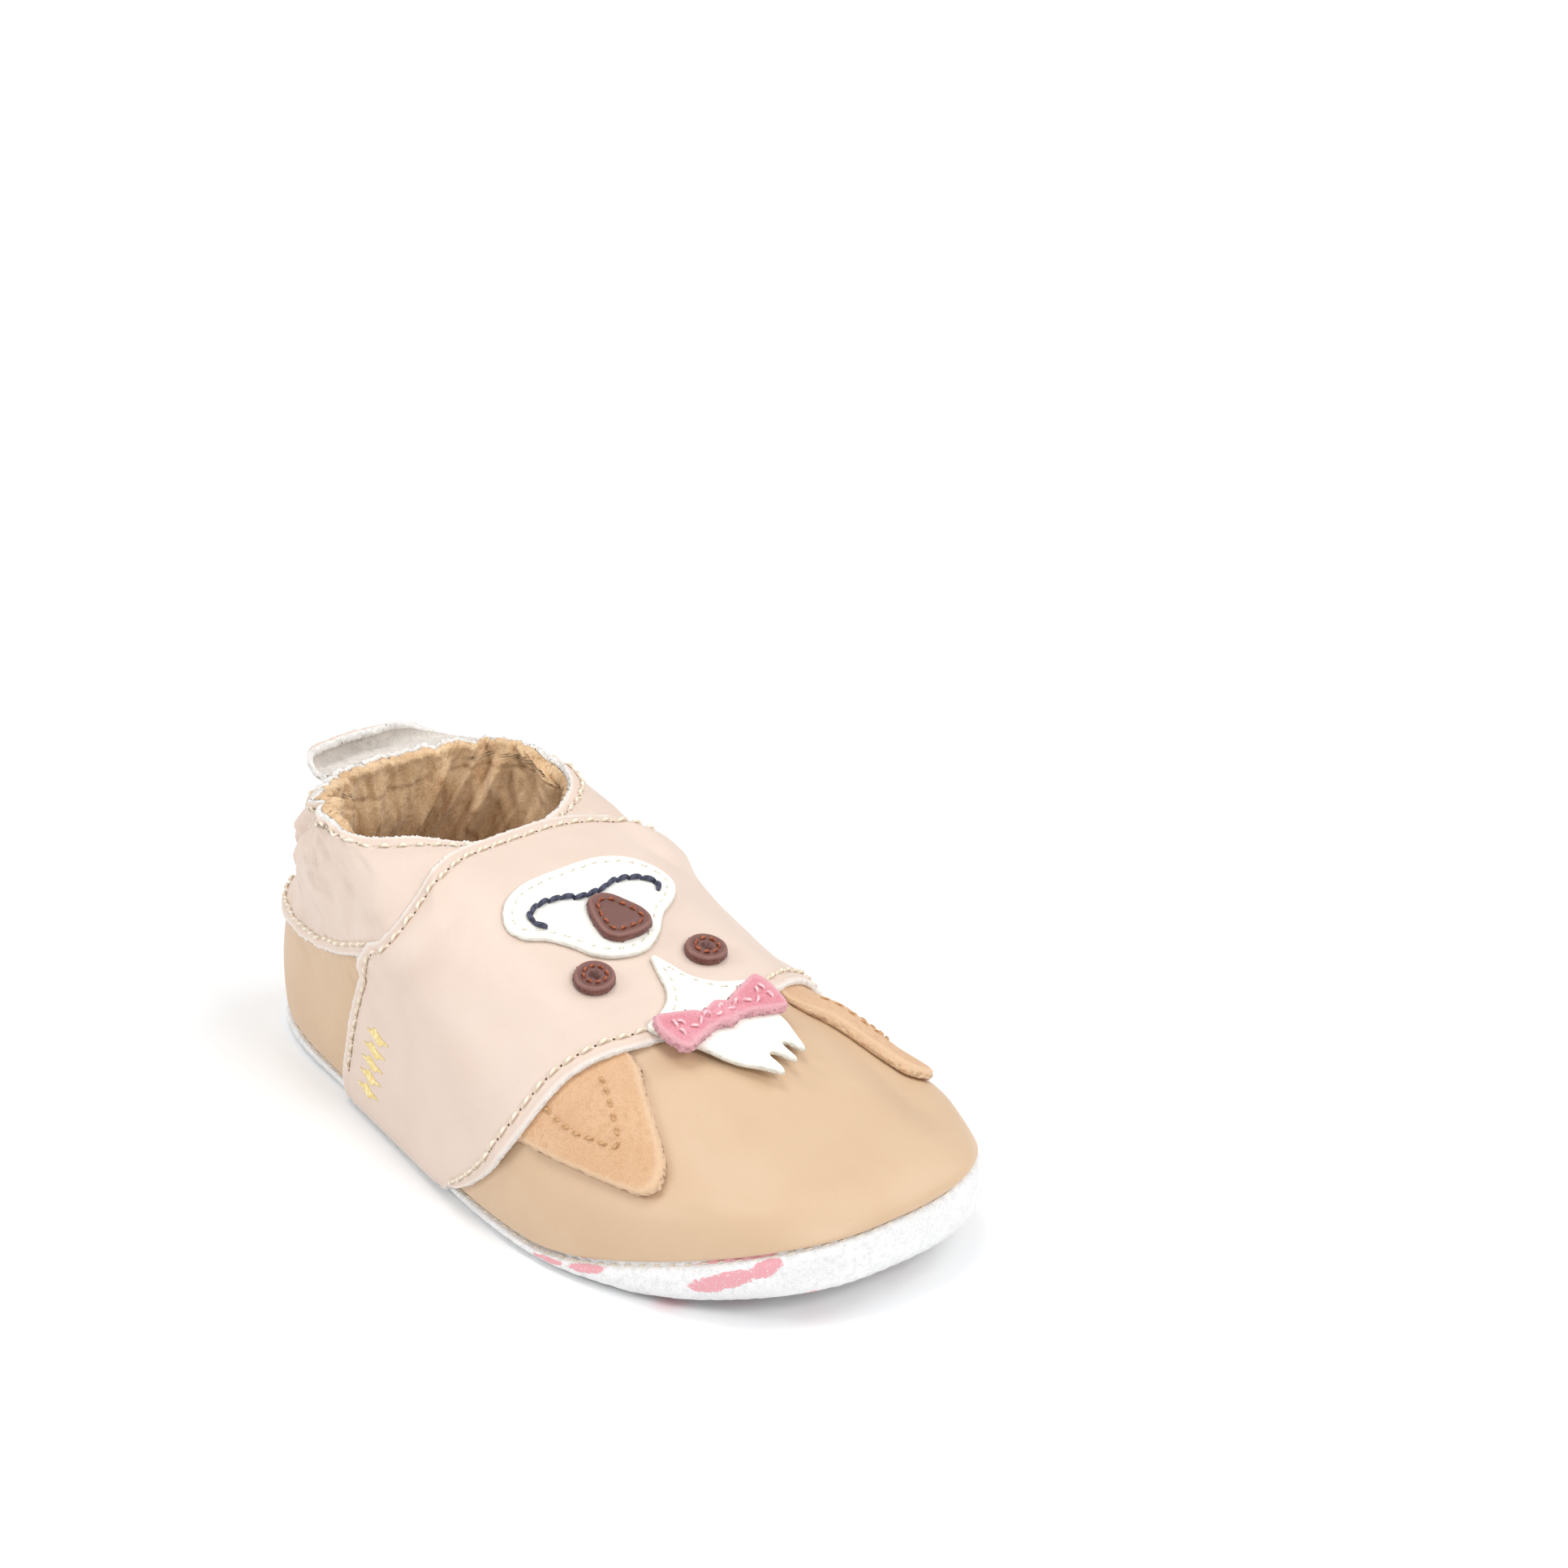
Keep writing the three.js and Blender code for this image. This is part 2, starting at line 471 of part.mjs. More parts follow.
for (const [side, name, raised] of [[-1, "outer", 0], [1, "inner", EAR_RAISED]]) {
  const [low, high] = [0, 1].map((k) => onEar(side, ...earRoot(k), 0));
  const top = onEar(side, ...earRoot(0.5), EAR_THICKNESS);
  const axis = high.clone().sub(low).normalize();
  const out = upperNormal(side * earRoot(0.5)[0], earRoot(0.5)[1]);
  const hinge = low.clone().lerp(high, 0.5);
  hinge.addScaledVector(out, top.sub(hinge).dot(out));
  const swing = new THREE.Group();
  swing.position.copy(hinge);
  swing.quaternion.setFromAxisAngle(axis, side * rad(raised));
  bootie.add(swing);
  const flap = ring(earPlaces);
  add(`ear_${name}`, disc(32, 4, (k, r, face) => {
    const at = flap.getPoint(k);
    const place = [mix(rad(EAR_CENTRE[0]), at.x, r), mix(EAR_CENTRE[1], at.y, r)];
    return onEar(side, ...place, EAR_THICKNESS * face).sub(hinge);
  }), "orangeSuede", swing);
  add(`ear_stitching_${name}`, thread(EAR_STITCHES.map(([angle, v]) =>
    onEar(side, rad(angle), v, EAR_THICKNESS + SEAM_GAP + THREAD / 2).sub(hinge)), 14), "beigeThread", swing);
}

// The long rows of stitches that hold the panels. The front one stops on both sides of the tuft.
const STITCH_TOP = LEATHER + 1.5 * SEAM_GAP + THREAD / 2;
function overlayRow(w, from, to, count) {
  return thread(Array.from({ length: count + 1 }, (_, i) =>
    onOverlay(mix(from, to, i / count), w, STITCH_TOP)), 2 * count);
}
add("overlay_front_stitching_outer", overlayRow(0.05, -0.97, -FRONT_ROW_STOP, 12), "beigeThread");
add("overlay_front_stitching_inner", overlayRow(0.05, FRONT_ROW_STOP, 0.97, 12), "beigeThread");
add("overlay_rear_stitching", overlayRow(0.94, -0.98, 0.98, 32), "beigeThread");
function collarRow(w, from, count) {
  return thread(Array.from({ length: count + 1 }, (_, i) =>
    onCollar(mix(from, 1 - from, i / count), w, STITCH_TOP)), 2 * count);
}
add("collar_top_stitching", collarRow(0.93, 0.15, 26), "beigeThread");
add("collar_bottom_stitching", collarRow(0.08, 0.1, 16), "beigeThread");
add("sole_seam_stitching", thread(Array.from({ length: 45 }, (_, i) =>
  offUpper(2 * Math.PI * (i / 45 + 0.5), 0.07, -(LEATHER + 3 * SEAM_GAP + THREAD / 2))), 88), "beigeThread");

export default bootie;
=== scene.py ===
"""A soft-soled baby bootie for the right foot, with an animal's face sewn on its instep.

Lengths are in millimetres until a mesh is made. The toe points to -Y and the inner side is +X.
A place on the upper is an angle t round its outline, 0 at the toe and positive on the inner side,
and a height v, 0 at the sole's seam and 1 at the rim of the foot opening.
"""
import json
import math

import bpy
import numpy as np
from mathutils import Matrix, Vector
from mathutils.geometry import delaunay_2d_cdt


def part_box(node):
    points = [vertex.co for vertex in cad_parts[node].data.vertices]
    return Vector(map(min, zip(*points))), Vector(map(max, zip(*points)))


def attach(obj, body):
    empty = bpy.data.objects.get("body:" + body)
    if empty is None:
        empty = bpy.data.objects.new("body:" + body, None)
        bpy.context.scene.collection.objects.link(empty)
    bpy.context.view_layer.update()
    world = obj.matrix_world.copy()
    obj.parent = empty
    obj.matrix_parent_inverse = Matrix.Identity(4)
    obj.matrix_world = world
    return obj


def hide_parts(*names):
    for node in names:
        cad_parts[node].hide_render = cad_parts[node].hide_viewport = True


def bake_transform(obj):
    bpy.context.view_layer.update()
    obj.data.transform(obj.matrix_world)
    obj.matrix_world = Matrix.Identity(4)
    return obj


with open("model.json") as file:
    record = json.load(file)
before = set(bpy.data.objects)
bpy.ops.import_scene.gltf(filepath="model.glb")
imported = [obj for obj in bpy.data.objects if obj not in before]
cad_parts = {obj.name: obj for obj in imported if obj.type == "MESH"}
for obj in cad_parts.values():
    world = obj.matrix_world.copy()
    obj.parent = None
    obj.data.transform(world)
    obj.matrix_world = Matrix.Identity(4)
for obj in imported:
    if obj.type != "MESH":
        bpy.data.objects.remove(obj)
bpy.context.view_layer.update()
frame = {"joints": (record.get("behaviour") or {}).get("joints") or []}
MM = 0.001


def box_mm(node):
    low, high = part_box(node)
    return np.array(low) / MM, np.array(high) / MM


# ---------------------------------------------------------------- sizes of the upper
SOLE_INSET = 0.8
SOLE_LOW, SOLE_HIGH = box_mm("outsole")
LENGTH = SOLE_HIGH[1] - SOLE_LOW[1] + 2 * SOLE_INSET
BALL_HALF_WIDTH = LENGTH / 4
HEEL_HALF_WIDTH = 21.0
TOE_LEAN = 1.0
TOE_POWER = 0.67
HEEL_POWER = 0.84
SIDE_POWER = 0.71
SEAM_HEIGHT = 2.2
TOE_SPRING = 10.0
TOE_LIFT = 4.0
RIM_CENTRE_Y = 35.6
RIM_HALF_WIDTH = 20.8
RIM_HALF_LENGTH = 16.8
BELLY = 3.0
RIM_HEIGHT = (45.0, 44.0, 44.0)  # at the toe, the sides and the heel, as are the next three
RISE = (6.0, 8.0, 22.0)
REACH = (0.57, 0.4, 0.28)
DROP = (16.5, 8.0, 12.0)
# Where the seam and the rim leave their even curves: degrees, width in degrees and rise.
SEAM_SWAYS = [(22, 20, 0.9), (-48, 26, -1.5), (-118, 42, -1.1)]
RIM_SWAYS = [(-115, 30, 1.4), (-48, 26, 2.1), (165, 24, -0.7)]

LEATHER = 1.2
AIR = 0.08  # between two layers that are sewn together
LAYER = LEATHER + AIR

# A panel's edge is an arc over the instep: (angle, height, power).
OVERLAY_FRONT = (90.5, 0.66, 1.2)
OVERLAY_REAR = (118.0, 1.0, 1.0)
VAMP_REAR = (97.5, 0.71, 1.2)
EDGE_POWER = 0.833
QUARTER_FRONT_ANGLE = 111.0
THROAT_ANGLE = 1.5
COLLAR_MIDDLE = 0.66
COLLAR_SWING = 0.33

# Rows of stitches.
STITCH_PITCH = 2.9
STITCH_GAP = 0.5
THREAD_RADIUS = 0.28
ROW_INSET = 2.0  # from the leather's cut edge
RIM_ROW_INSET = 3.0
CHANNEL_DEPTH = 0.22
CHANNEL_WIDTH = 0.6


def mix(a, b, k):
    return a + (b - a) * k


def ease(start, end, x):
    k = np.clip((x - start) / (end - start), 0, 1)
    return k * k * (3 - 2 * k)


def bell(x, width):
    return np.exp(-((x / width) ** 2))


def unit(vectors):
    return vectors / np.maximum(np.linalg.norm(vectors, axis=-1, keepdims=True), 1e-9)


def signed_power(x, power):
    return np.sign(x) * np.abs(x) ** power


def outline(t):
    """The upper's bottom edge in plan."""
    c = np.cos(t)
    y = -LENGTH / 2 * np.sign(c) * np.abs(c) ** np.where(c > 0, TOE_POWER, HEEL_POWER)
    half = mix(HEEL_HALF_WIDTH, BALL_HALF_WIDTH, ease(0.34 * LENGTH, -0.24 * LENGTH, y))
    x = half * signed_power(np.sin(t), SIDE_POWER) + TOE_LEAN * ease(0, -LENGTH / 2, y)
    return x, y


def outline_normal(t):
    step = 1e-3
    (x0, y0), (x1, y1) = outline(t - step), outline(t + step)
    dx, dy = x1 - x0, y1 - y0
    size = np.hypot(dx, dy)
    return dy / size, -dx / size


def wrapped(t):
    """An angle brought between -pi and pi."""
    return np.mod(t + math.pi, 2 * math.pi) - math.pi


def near_angle(t, middle, width):
    """1 at an angle in degrees, fading to 0 over a width."""
    return bell(wrapped(t - math.radians(middle)), math.radians(width))


def swayed(sways, t):
    return sum(rise * near_angle(t, middle, width) for middle, width, rise in sways)


def seam_height(t):
    y = outline(t)[1]
    return SEAM_HEIGHT + TOE_SPRING * ease(-0.15 * LENGTH, -0.5 * LENGTH, y) + swayed(SEAM_SWAYS, t)


def rim_height(t):
    return rib_value(RIM_HEIGHT, t) + swayed(RIM_SWAYS, t)


def rib_value(values, t):
    """A value given at the toe, the sides and the heel, eased between them."""
    c = np.cos(t)
    toe = np.maximum(c, 0) ** 2
    heel = np.maximum(-c, 0) ** 2
    return values[0] * toe + values[1] * (1 - toe - heel) + values[2] * heel


def upper(t, v):
    """The visible surface of the upper, before any relief."""
    t, v = np.broadcast_arrays(np.asarray(t, float), np.asarray(v, float))
    x, y = outline(t)
    nx, ny = outline_normal(t)
    z = seam_height(t)
    rim = np.stack([RIM_HALF_WIDTH * np.sin(t), RIM_CENTRE_Y - RIM_HALF_LENGTH * np.cos(t),
                    rim_height(t)], -1)
    reach = rib_value(REACH, t)
    foot = np.stack([x, y, z], -1)
    bulge = np.stack([x + nx * BELLY, y + ny * BELLY, z + rib_value(RISE, t)], -1)
    brow = np.stack([mix(rim[..., 0], x, reach), mix(rim[..., 1], y, reach),
                     rib_value(RIM_HEIGHT, t) - rib_value(DROP, t)], -1)
    k = v[..., None]
    return ((1 - k) ** 3 * foot + 3 * (1 - k) ** 2 * k * bulge
            + 3 * (1 - k) * k ** 2 * brow + k ** 3 * rim)


def upper_normal(t, v):
    step = 1e-3
    low = np.minimum(v, 1 - step)
    around = upper(t + step, v) - upper(t - step, v)
    upward = upper(t, low + step) - upper(t, low)
    return unit(np.cross(around, upward))


def lay(t, v, off):
    """Points that stand off the upper by off."""
    return upper(t, v) + upper_normal(t, v) * np.asarray(off)[..., None]


def under(x, y):
    """The places (t, v) on the upper that lie under the points (x, y), by Newton's method."""
    x, y = np.asarray(x, float), np.asarray(y, float)
    t = np.arctan2(x, RIM_CENTRE_Y - y)
    v = 1 - 0.9 * (RIM_CENTRE_Y - RIM_HALF_LENGTH - y) / LENGTH
    step = 1e-4
    for _ in range(30):
        here = upper(t, v)
        dt = (upper(t + step, v) - here) / step
        dv = (upper(t, v + step) - here) / step
        ex, ey = x - here[..., 0], y - here[..., 1]
        scale = dt[..., 0] * dv[..., 1] - dt[..., 1] * dv[..., 0]
        t = t + np.clip((ex * dv[..., 1] - ey * dv[..., 0]) / scale, -0.2, 0.2)
        v = v + np.clip((dt[..., 0] * ey - dt[..., 1] * ex) / scale, -0.1, 0.1)
    return t, v


def edge(arc, s):
    """A place on a panel's edge, as s goes from -1 on the outer side to 1 on the inner side."""
    angle, height, power = arc
    turn = s * math.pi / 2
    return (math.radians(angle) * signed_power(np.sin(turn), EDGE_POWER),
            height * np.abs(np.cos(turn)) ** power)


def past(arc, t, v):
    """How far past an edge's arc a place lies: 1 on the arc, more behind it."""
    angle, height, power = arc
    return (np.abs(t) / math.radians(angle)) ** (2 / EDGE_POWER) + (v / height) ** (2 / power)


# ---------------------------------------------------------------- relief of the soft leather
# Distances on the leather are measured in its flat pattern: t and v times these lengths.
PATTERN_ROUND = 27.0
PATTERN_UP = 45.0
RIPPLE_WAVES = 7  # sine waves summed in one ripple
FINE_STEPS = 600  # for measuring a curve's length


def ripple(a, b, length_a, length_b, seed):
    """A smooth, irregular wave over a and b, about -1 to 1, with the given wavelengths."""
    draw = np.random.default_rng(seed)
    total = 0
    for _ in range(RIPPLE_WAVES):
        ka = 2 * math.pi / length_a * draw.uniform(0.6, 1.5) * draw.choice([-1, 1])
        kb = 2 * math.pi / length_b * draw.uniform(0.4, 1.4) * draw.choice([-1, 1])
        total = total + np.sin(ka * a + kb * b + draw.uniform(0, 2 * math.pi))
    return total / math.sqrt(RIPPLE_WAVES)


# Creases as (degrees, v) to (degrees, v), width and depth. The outer side has negative angles.
CREASES = [
    (-152, 0.97, -137, 0.66, 1.1, 0.8),
    (-147, 0.98, -126, 0.72, 0.9, 0.7),
    (-158, 0.95, -150, 0.6, 1.2, 0.8),
    (-139, 0.92, -128, 0.58, 1.2, 0.55),
    (-132, 0.97, -112, 0.80, 0.9, 0.5),
    (-128, 0.68, -121, 0.56, 0.8, 0.35),
    (-120, 0.95, -104, 0.84, 0.9, 0.3),
    (-166, 0.93, -164, 0.62, 1.3, 0.7),
    (-114, 0.98, -138, 0.75, 1.4, 1.7),
    (-108, 0.96, -127, 0.78, 1.1, 1.2),
    (-100, 0.96, -114, 0.83, 1.0, 0.9),
    (-126, 0.92, -146, 0.64, 1.4, 1.3),
    (-96, 0.78, -105, 0.56, 2.0, 1.1),
    (-90, 0.74, -95, 0.58, 1.3, 0.6),
    (-108, 0.74, -116, 0.54, 1.7, 1.0),
    (-84, 0.9, -96, 0.8, 1.6, 0.6),
    (-150, 0.44, -132, 0.38, 1.2, 0.35),
    (-140, 0.52, -122, 0.44, 1.1, 0.25),
    (150, 0.96, 138, 0.66, 1.1, 0.5),
    (163, 0.95, 158, 0.6, 1.2, 0.5),
    (128, 0.95, 118, 0.7, 1.0, 0.35),
    (-79, 0.40, -66, 0.56, 1.6, 0.16),
    (-74, 0.34, -60, 0.5, 1.4, 0.14),
    (-86, 0.30, -76, 0.44, 1.6, 0.16),
    (78, 0.36, 64, 0.54, 1.6, 0.18),
    (84, 0.30, 74, 0.46, 1.5, 0.15),
]


def rim_gathers():
    """The pleats that the elastic draws, as creases that run down from the rim."""
    draw = np.random.default_rng(11)
    found = []
    angle = 84.0
    while angle < 276:
        behind = ease(86, 112, angle) * ease(272, 226, angle)
        length = mix(0.06, draw.uniform(0.14, 0.34), behind)
        slant = draw.uniform(-5, 5)
        deeper = mix(1, 1.5, near_angle(math.radians(angle), 118, 22))
        depth = mix(0.1, draw.uniform(0.5, 1.0), behind) * deeper
        width = draw.uniform(0.8, 1.3)
        found.append((angle, 1.02, angle + slant, 1 - length, width, depth))
        angle += draw.uniform(8, 13)
    return found


ALL_CREASES = CREASES + rim_gathers()


def creasing(t, v):
    total = np.zeros(np.broadcast(t, v).shape)
    for t0, v0, t1, v1, width, depth in ALL_CREASES:
        middle = math.radians((t0 + t1) / 2)
        half = math.radians(t1 - t0) / 2
        a = wrapped(t - middle) * PATTERN_ROUND
        b = (v - (v0 + v1) / 2) * PATTERN_UP
        da, db = half * PATTERN_ROUND, (v1 - v0) / 2 * PATTERN_UP
        size = math.hypot(da, db)
        along = np.clip((a * da + b * db) / size, -size, size)
        off = np.hypot(a - along * da / size, b - along * db / size)
        fade = 1 - 0.55 * ease(-size, size, along)
        total -= depth * fade * (bell(off, width) - 0.3 * bell(off, 2.6 * width))
    return total


def settling(turn, v):
    """The instep sits a little low, and lower in two beds under the ears."""
    side = np.abs(turn)
    instep = ease(math.radians(88), math.radians(48), side) * ease(0.22, 0.46, v)
    bed_inside = ease(math.radians(12), math.radians(32), side)
    bed_outside = ease(math.radians(84), math.radians(62), side)
    bed_height = ease(0.2, 0.36, v) * ease(0.72, 0.6, v)
    bed = bed_inside * bed_outside * bed_height * np.where(turn > 0, 1.8, 1.0)
    hollow = near_angle(turn, 72, 24) * ease(0.5, 0.75, v) * ease(1.02, 0.92, v)
    corner = near_angle(turn, 30, 15) * bell(v - 0.3, 0.16)
    puffed = near_angle(turn, -132, 34) * bell(v - 0.75, 0.15)
    return 2.3 * puffed - 1.2 * instep - 1.0 * bed - 0.8 * hollow - 1.1 * corner


def relief(t, v):
    """How far the soft leather stands off its ideal surface."""
    turn = wrapped(t)
    a, b = turn * PATTERN_ROUND, v * PATTERN_UP
    back = ease(math.radians(80), math.radians(120), np.abs(turn))
    collar = back * ease(0.35, 0.62, v)
    soft = 0.2 * ripple(a, b, 34, 30, 3) * ease(0, 0.12, v)
    waves = 0.38 * ripple(a, b, 9, 60, 5) * ease(0.78, 1, v) * back
    wrinkles = 0.2 * ripple(a, b, 2.6, 10, 8) + 0.13 * ripple(a + 0.5 * b, b, 1.9, 8, 9)
    worn = np.clip(0.35 + ripple(a, b, 14, 11, 12), 0, 1)
    return soft + waves + settling(turn, v) + creasing(t, v) + wrinkles * worn * collar


# ---------------------------------------------------------------- how high each layer lies
PRESSED = 0.8  # how far a layer sinks where another is sewn over its edge
EAR_ROOT = (-0.66, -0.16)  # along the overlay's front edge
EAR_SKIVED = 0.8  # an ear's thickness where it is sewn in
EAR_THICKNESS = 1.6


def vamp_outside(t, v):
    front = past(OVERLAY_FRONT, wrapped(t), v)
    sunk = PRESSED * ease(0.8, 1.0, front) + (LAYER - PRESSED) * ease(1.02, 1.25, front)
    return -sunk * ease(0.05, 0.25, v)


def collar_low(t):
    return COLLAR_MIDDLE + COLLAR_SWING * np.cos(t)


def at_throat(t):
    """1 at the throat, where the collar's ends run out under the overlay."""
    return ease(math.radians(64), math.radians(44), np.abs(wrapped(t)))


def under_overlay(t, v):
    return -PRESSED * ease(1.12, 0.97, past(OVERLAY_REAR, wrapped(t), v)) * ease(0.05, 0.25, v)


def quarter_outside(t, v):
    covered = np.maximum(ease(0.01, 0.09, v - collar_low(t)), at_throat(t))
    return under_overlay(t, v) - LAYER * covered


def collar_inside(t, v):
    return quarter_outside(t, v) + AIR


def over_ears(t, v):
    """The overlay rises a little over the roots of the ears."""
    turn = wrapped(t)
    share = np.abs(turn) / math.radians(OVERLAY_FRONT[0])
    s = 2 / math.pi * np.arcsin(np.clip(share, 0, 1) ** (1 / EDGE_POWER))
    low, high = -EAR_ROOT[1], -EAR_ROOT[0]
    along = ease(low - 0.06, low + 0.05, s) * ease(high + 0.06, high - 0.05, s)
    return EAR_SKIVED * along * ease(1.36, 1.02, past(OVERLAY_FRONT, turn, v))


def overlay_inside(t, v):
    turn = wrapped(t)
    on_collar = np.maximum(ease(-0.07, -0.01, v - collar_low(t)), at_throat(t))
    collar_top = quarter_outside(t, v) + LAYER * on_collar
    behind = ease(0.72, 0.88, past(OVERLAY_REAR, turn, v))
    return AIR + mix(vamp_outside(t, v) + over_ears(t, v), collar_top, behind)


def overlay_top(t, v):
    return overlay_inside(t, v) + LEATHER + relief(t, v)


# ---------------------------------------------------------------- meshes
LOOKS = {}  # every material by name, filled further down


def mesh_object(name, points, faces, looks, face_looks, fields):
    """A smooth-shaded object from points in millimetres, with a look for each face."""
    mesh = bpy.data.meshes.new(name)
    mesh.from_pydata((np.asarray(points) * MM).tolist(), [], faces)
    mesh.polygons.foreach_set("material_index", np.asarray(face_looks, np.int32))
    mesh.polygons.foreach_set("use_smooth", np.ones(len(faces), bool))
    for field, values in fields.items():
        attribute = mesh.attributes.new(field, "FLOAT", "POINT")
        attribute.data.foreach_set("value", np.asarray(values, np.float32).ravel())
    mesh.update()
    made = bpy.data.objects.new(name, mesh)
    bpy.context.scene.collection.objects.link(made)
    for look in looks:
        mesh.materials.append(LOOKS[look])
    return made


def finish_piece(piece, node, body="bootie", others=()):
    """Ties a piece to its body and hides the parts that it stands for. With no body it is left unattached.
    """
    if body:
        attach(piece, body)
    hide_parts(node, *others)
    return piece


def quads(index):
    """The quads of a grid of vertex numbers."""
    corners = [index[:-1, :-1], index[:-1, 1:], index[1:, 1:], index[1:, :-1]]
    return np.stack([c.ravel() for c in corners], -1)


def rim_of(grid):
    """The border of a grid, once round."""
    return np.concatenate([grid[0, :-1], grid[:-1, -1], grid[-1, :0:-1], grid[:0:-1, 0]])


def reach_along(points, axis):
    """The distance run along a grid's lines, from their first points."""
    run = np.linalg.norm(np.diff(points, axis=axis), axis=-1)
    zero = np.zeros_like(np.take(run, [0], axis=axis))
    return np.concatenate([zero, np.cumsum(run, axis=axis)], axis=axis)


def from_edges(points):
    """How far each point of a grid lies from the nearest cut edge."""
    down = reach_along(points, 0)
    across = reach_along(points, 1)
    return np.minimum(np.minimum(down, down[-1:] - down), np.minimum(across, across[:, -1:] - across))


EDGE_STEPS = 4
EDGE_ROUNDING = 0.28  # how far a cut edge bulges, as a share of the leather's thickness


def leather_piece(name, top, back, looks, roughness=0.06):
    """A sheet of leather between two grids: its grain side, its cut edge and its back."""
    rows, columns = top.shape[:2]
    count = rows * columns
    number = np.arange(count).reshape(rows, columns)
    top_rim, back_rim = rim_of(top), rim_of(back)
    inner = np.concatenate([top[1, :-1], top[:-1, -2], top[-2, :0:-1], top[:0:-1, 1]])
    outward = unit(top_rim - inner)
    draw = np.random.default_rng(len(name))
    fuzz = draw.normal(0, roughness, (EDGE_STEPS, len(top_rim), 3))
    thick = np.linalg.norm(top_rim - back_rim, axis=-1, keepdims=True)
    rings = []
    for step in range(1, EDGE_STEPS + 1):
        turn = math.pi * step / (EDGE_STEPS + 1)
        k = (1 - math.cos(turn)) / 2
        rounded = outward * thick * EDGE_ROUNDING * math.sin(turn)
        rings.append(mix(top_rim, back_rim, k) + rounded + fuzz[step - 1])
    points = np.concatenate([top.reshape(-1, 3), back.reshape(-1, 3), np.concatenate(rings)])
    ring_starts = [2 * count + i * len(top_rim) for i in range(EDGE_STEPS)]
    ring_numbers = [start + np.arange(len(top_rim)) for start in ring_starts]
    band = np.vstack([rim_of(number)] + ring_numbers + [rim_of(number) + count])
    band = np.hstack([band, band[:, :1]])
    grain, cut, flesh = quads(number), quads(band)[:, ::-1], quads(number + count)[:, ::-1]
    faces = np.vstack([grain, cut, flesh])
    if facing_in(points, grain, back.reshape(-1, 3)):
        faces = faces[:, ::-1]
    face_looks = [0] * len(grain) + [1] * len(cut) + [2] * len(flesh)
    near = from_edges(top)
    values = np.concatenate([near.ravel(), near.ravel(), np.tile(rim_of(near), EDGE_STEPS)])
    return mesh_object(name, points, faces.tolist(), looks, face_looks, {"edge": values})


def facing_in(points, faces, below):
    """True if faces of the upper side look down at the points below them."""
    a, b, c = (points[faces[:, i]] for i in (0, 1, 2))
    normal = np.cross(b - a, c - a)
    return float(np.sum(normal * (a - below[faces[:, 0]]))) < 0


# ---------------------------------------------------------------- rows of stitches
def channel(distance, along, inset=ROW_INSET):
    """The groove that a row of stitches pulls into leather, deepest at its holes."""
    pull = 0.45 + 0.55 * np.cos(math.pi * along / STITCH_PITCH) ** 2
    return -CHANNEL_DEPTH * pull * bell(distance - inset, CHANNEL_WIDTH)


def line_at(points, normals, distance, inset):
    """The line on a grid's face that runs at a distance from its first row."""
    rows = np.argmax(distance >= inset, axis=0)
    columns = np.arange(points.shape[1])
    before, after = distance[rows - 1, columns], distance[rows, columns]
    k = ((inset - before) / (after - before))[:, None]
    return (mix(points[rows - 1, columns], points[rows, columns], k),
            unit(mix(normals[rows - 1, columns], normals[rows, columns], k)))


def outer_normals(top, back):
    """The normals of a grid, on the side away from the grid behind it."""
    normals = unit(np.cross(np.gradient(top, axis=1), np.gradient(top, axis=0)))
    return normals * np.sign(np.sum(normals * (top - back), -1, keepdims=True))


def at_run(run, along, values):
    return np.stack([np.interp(run, along, values[:, i]) for i in range(3)], -1)


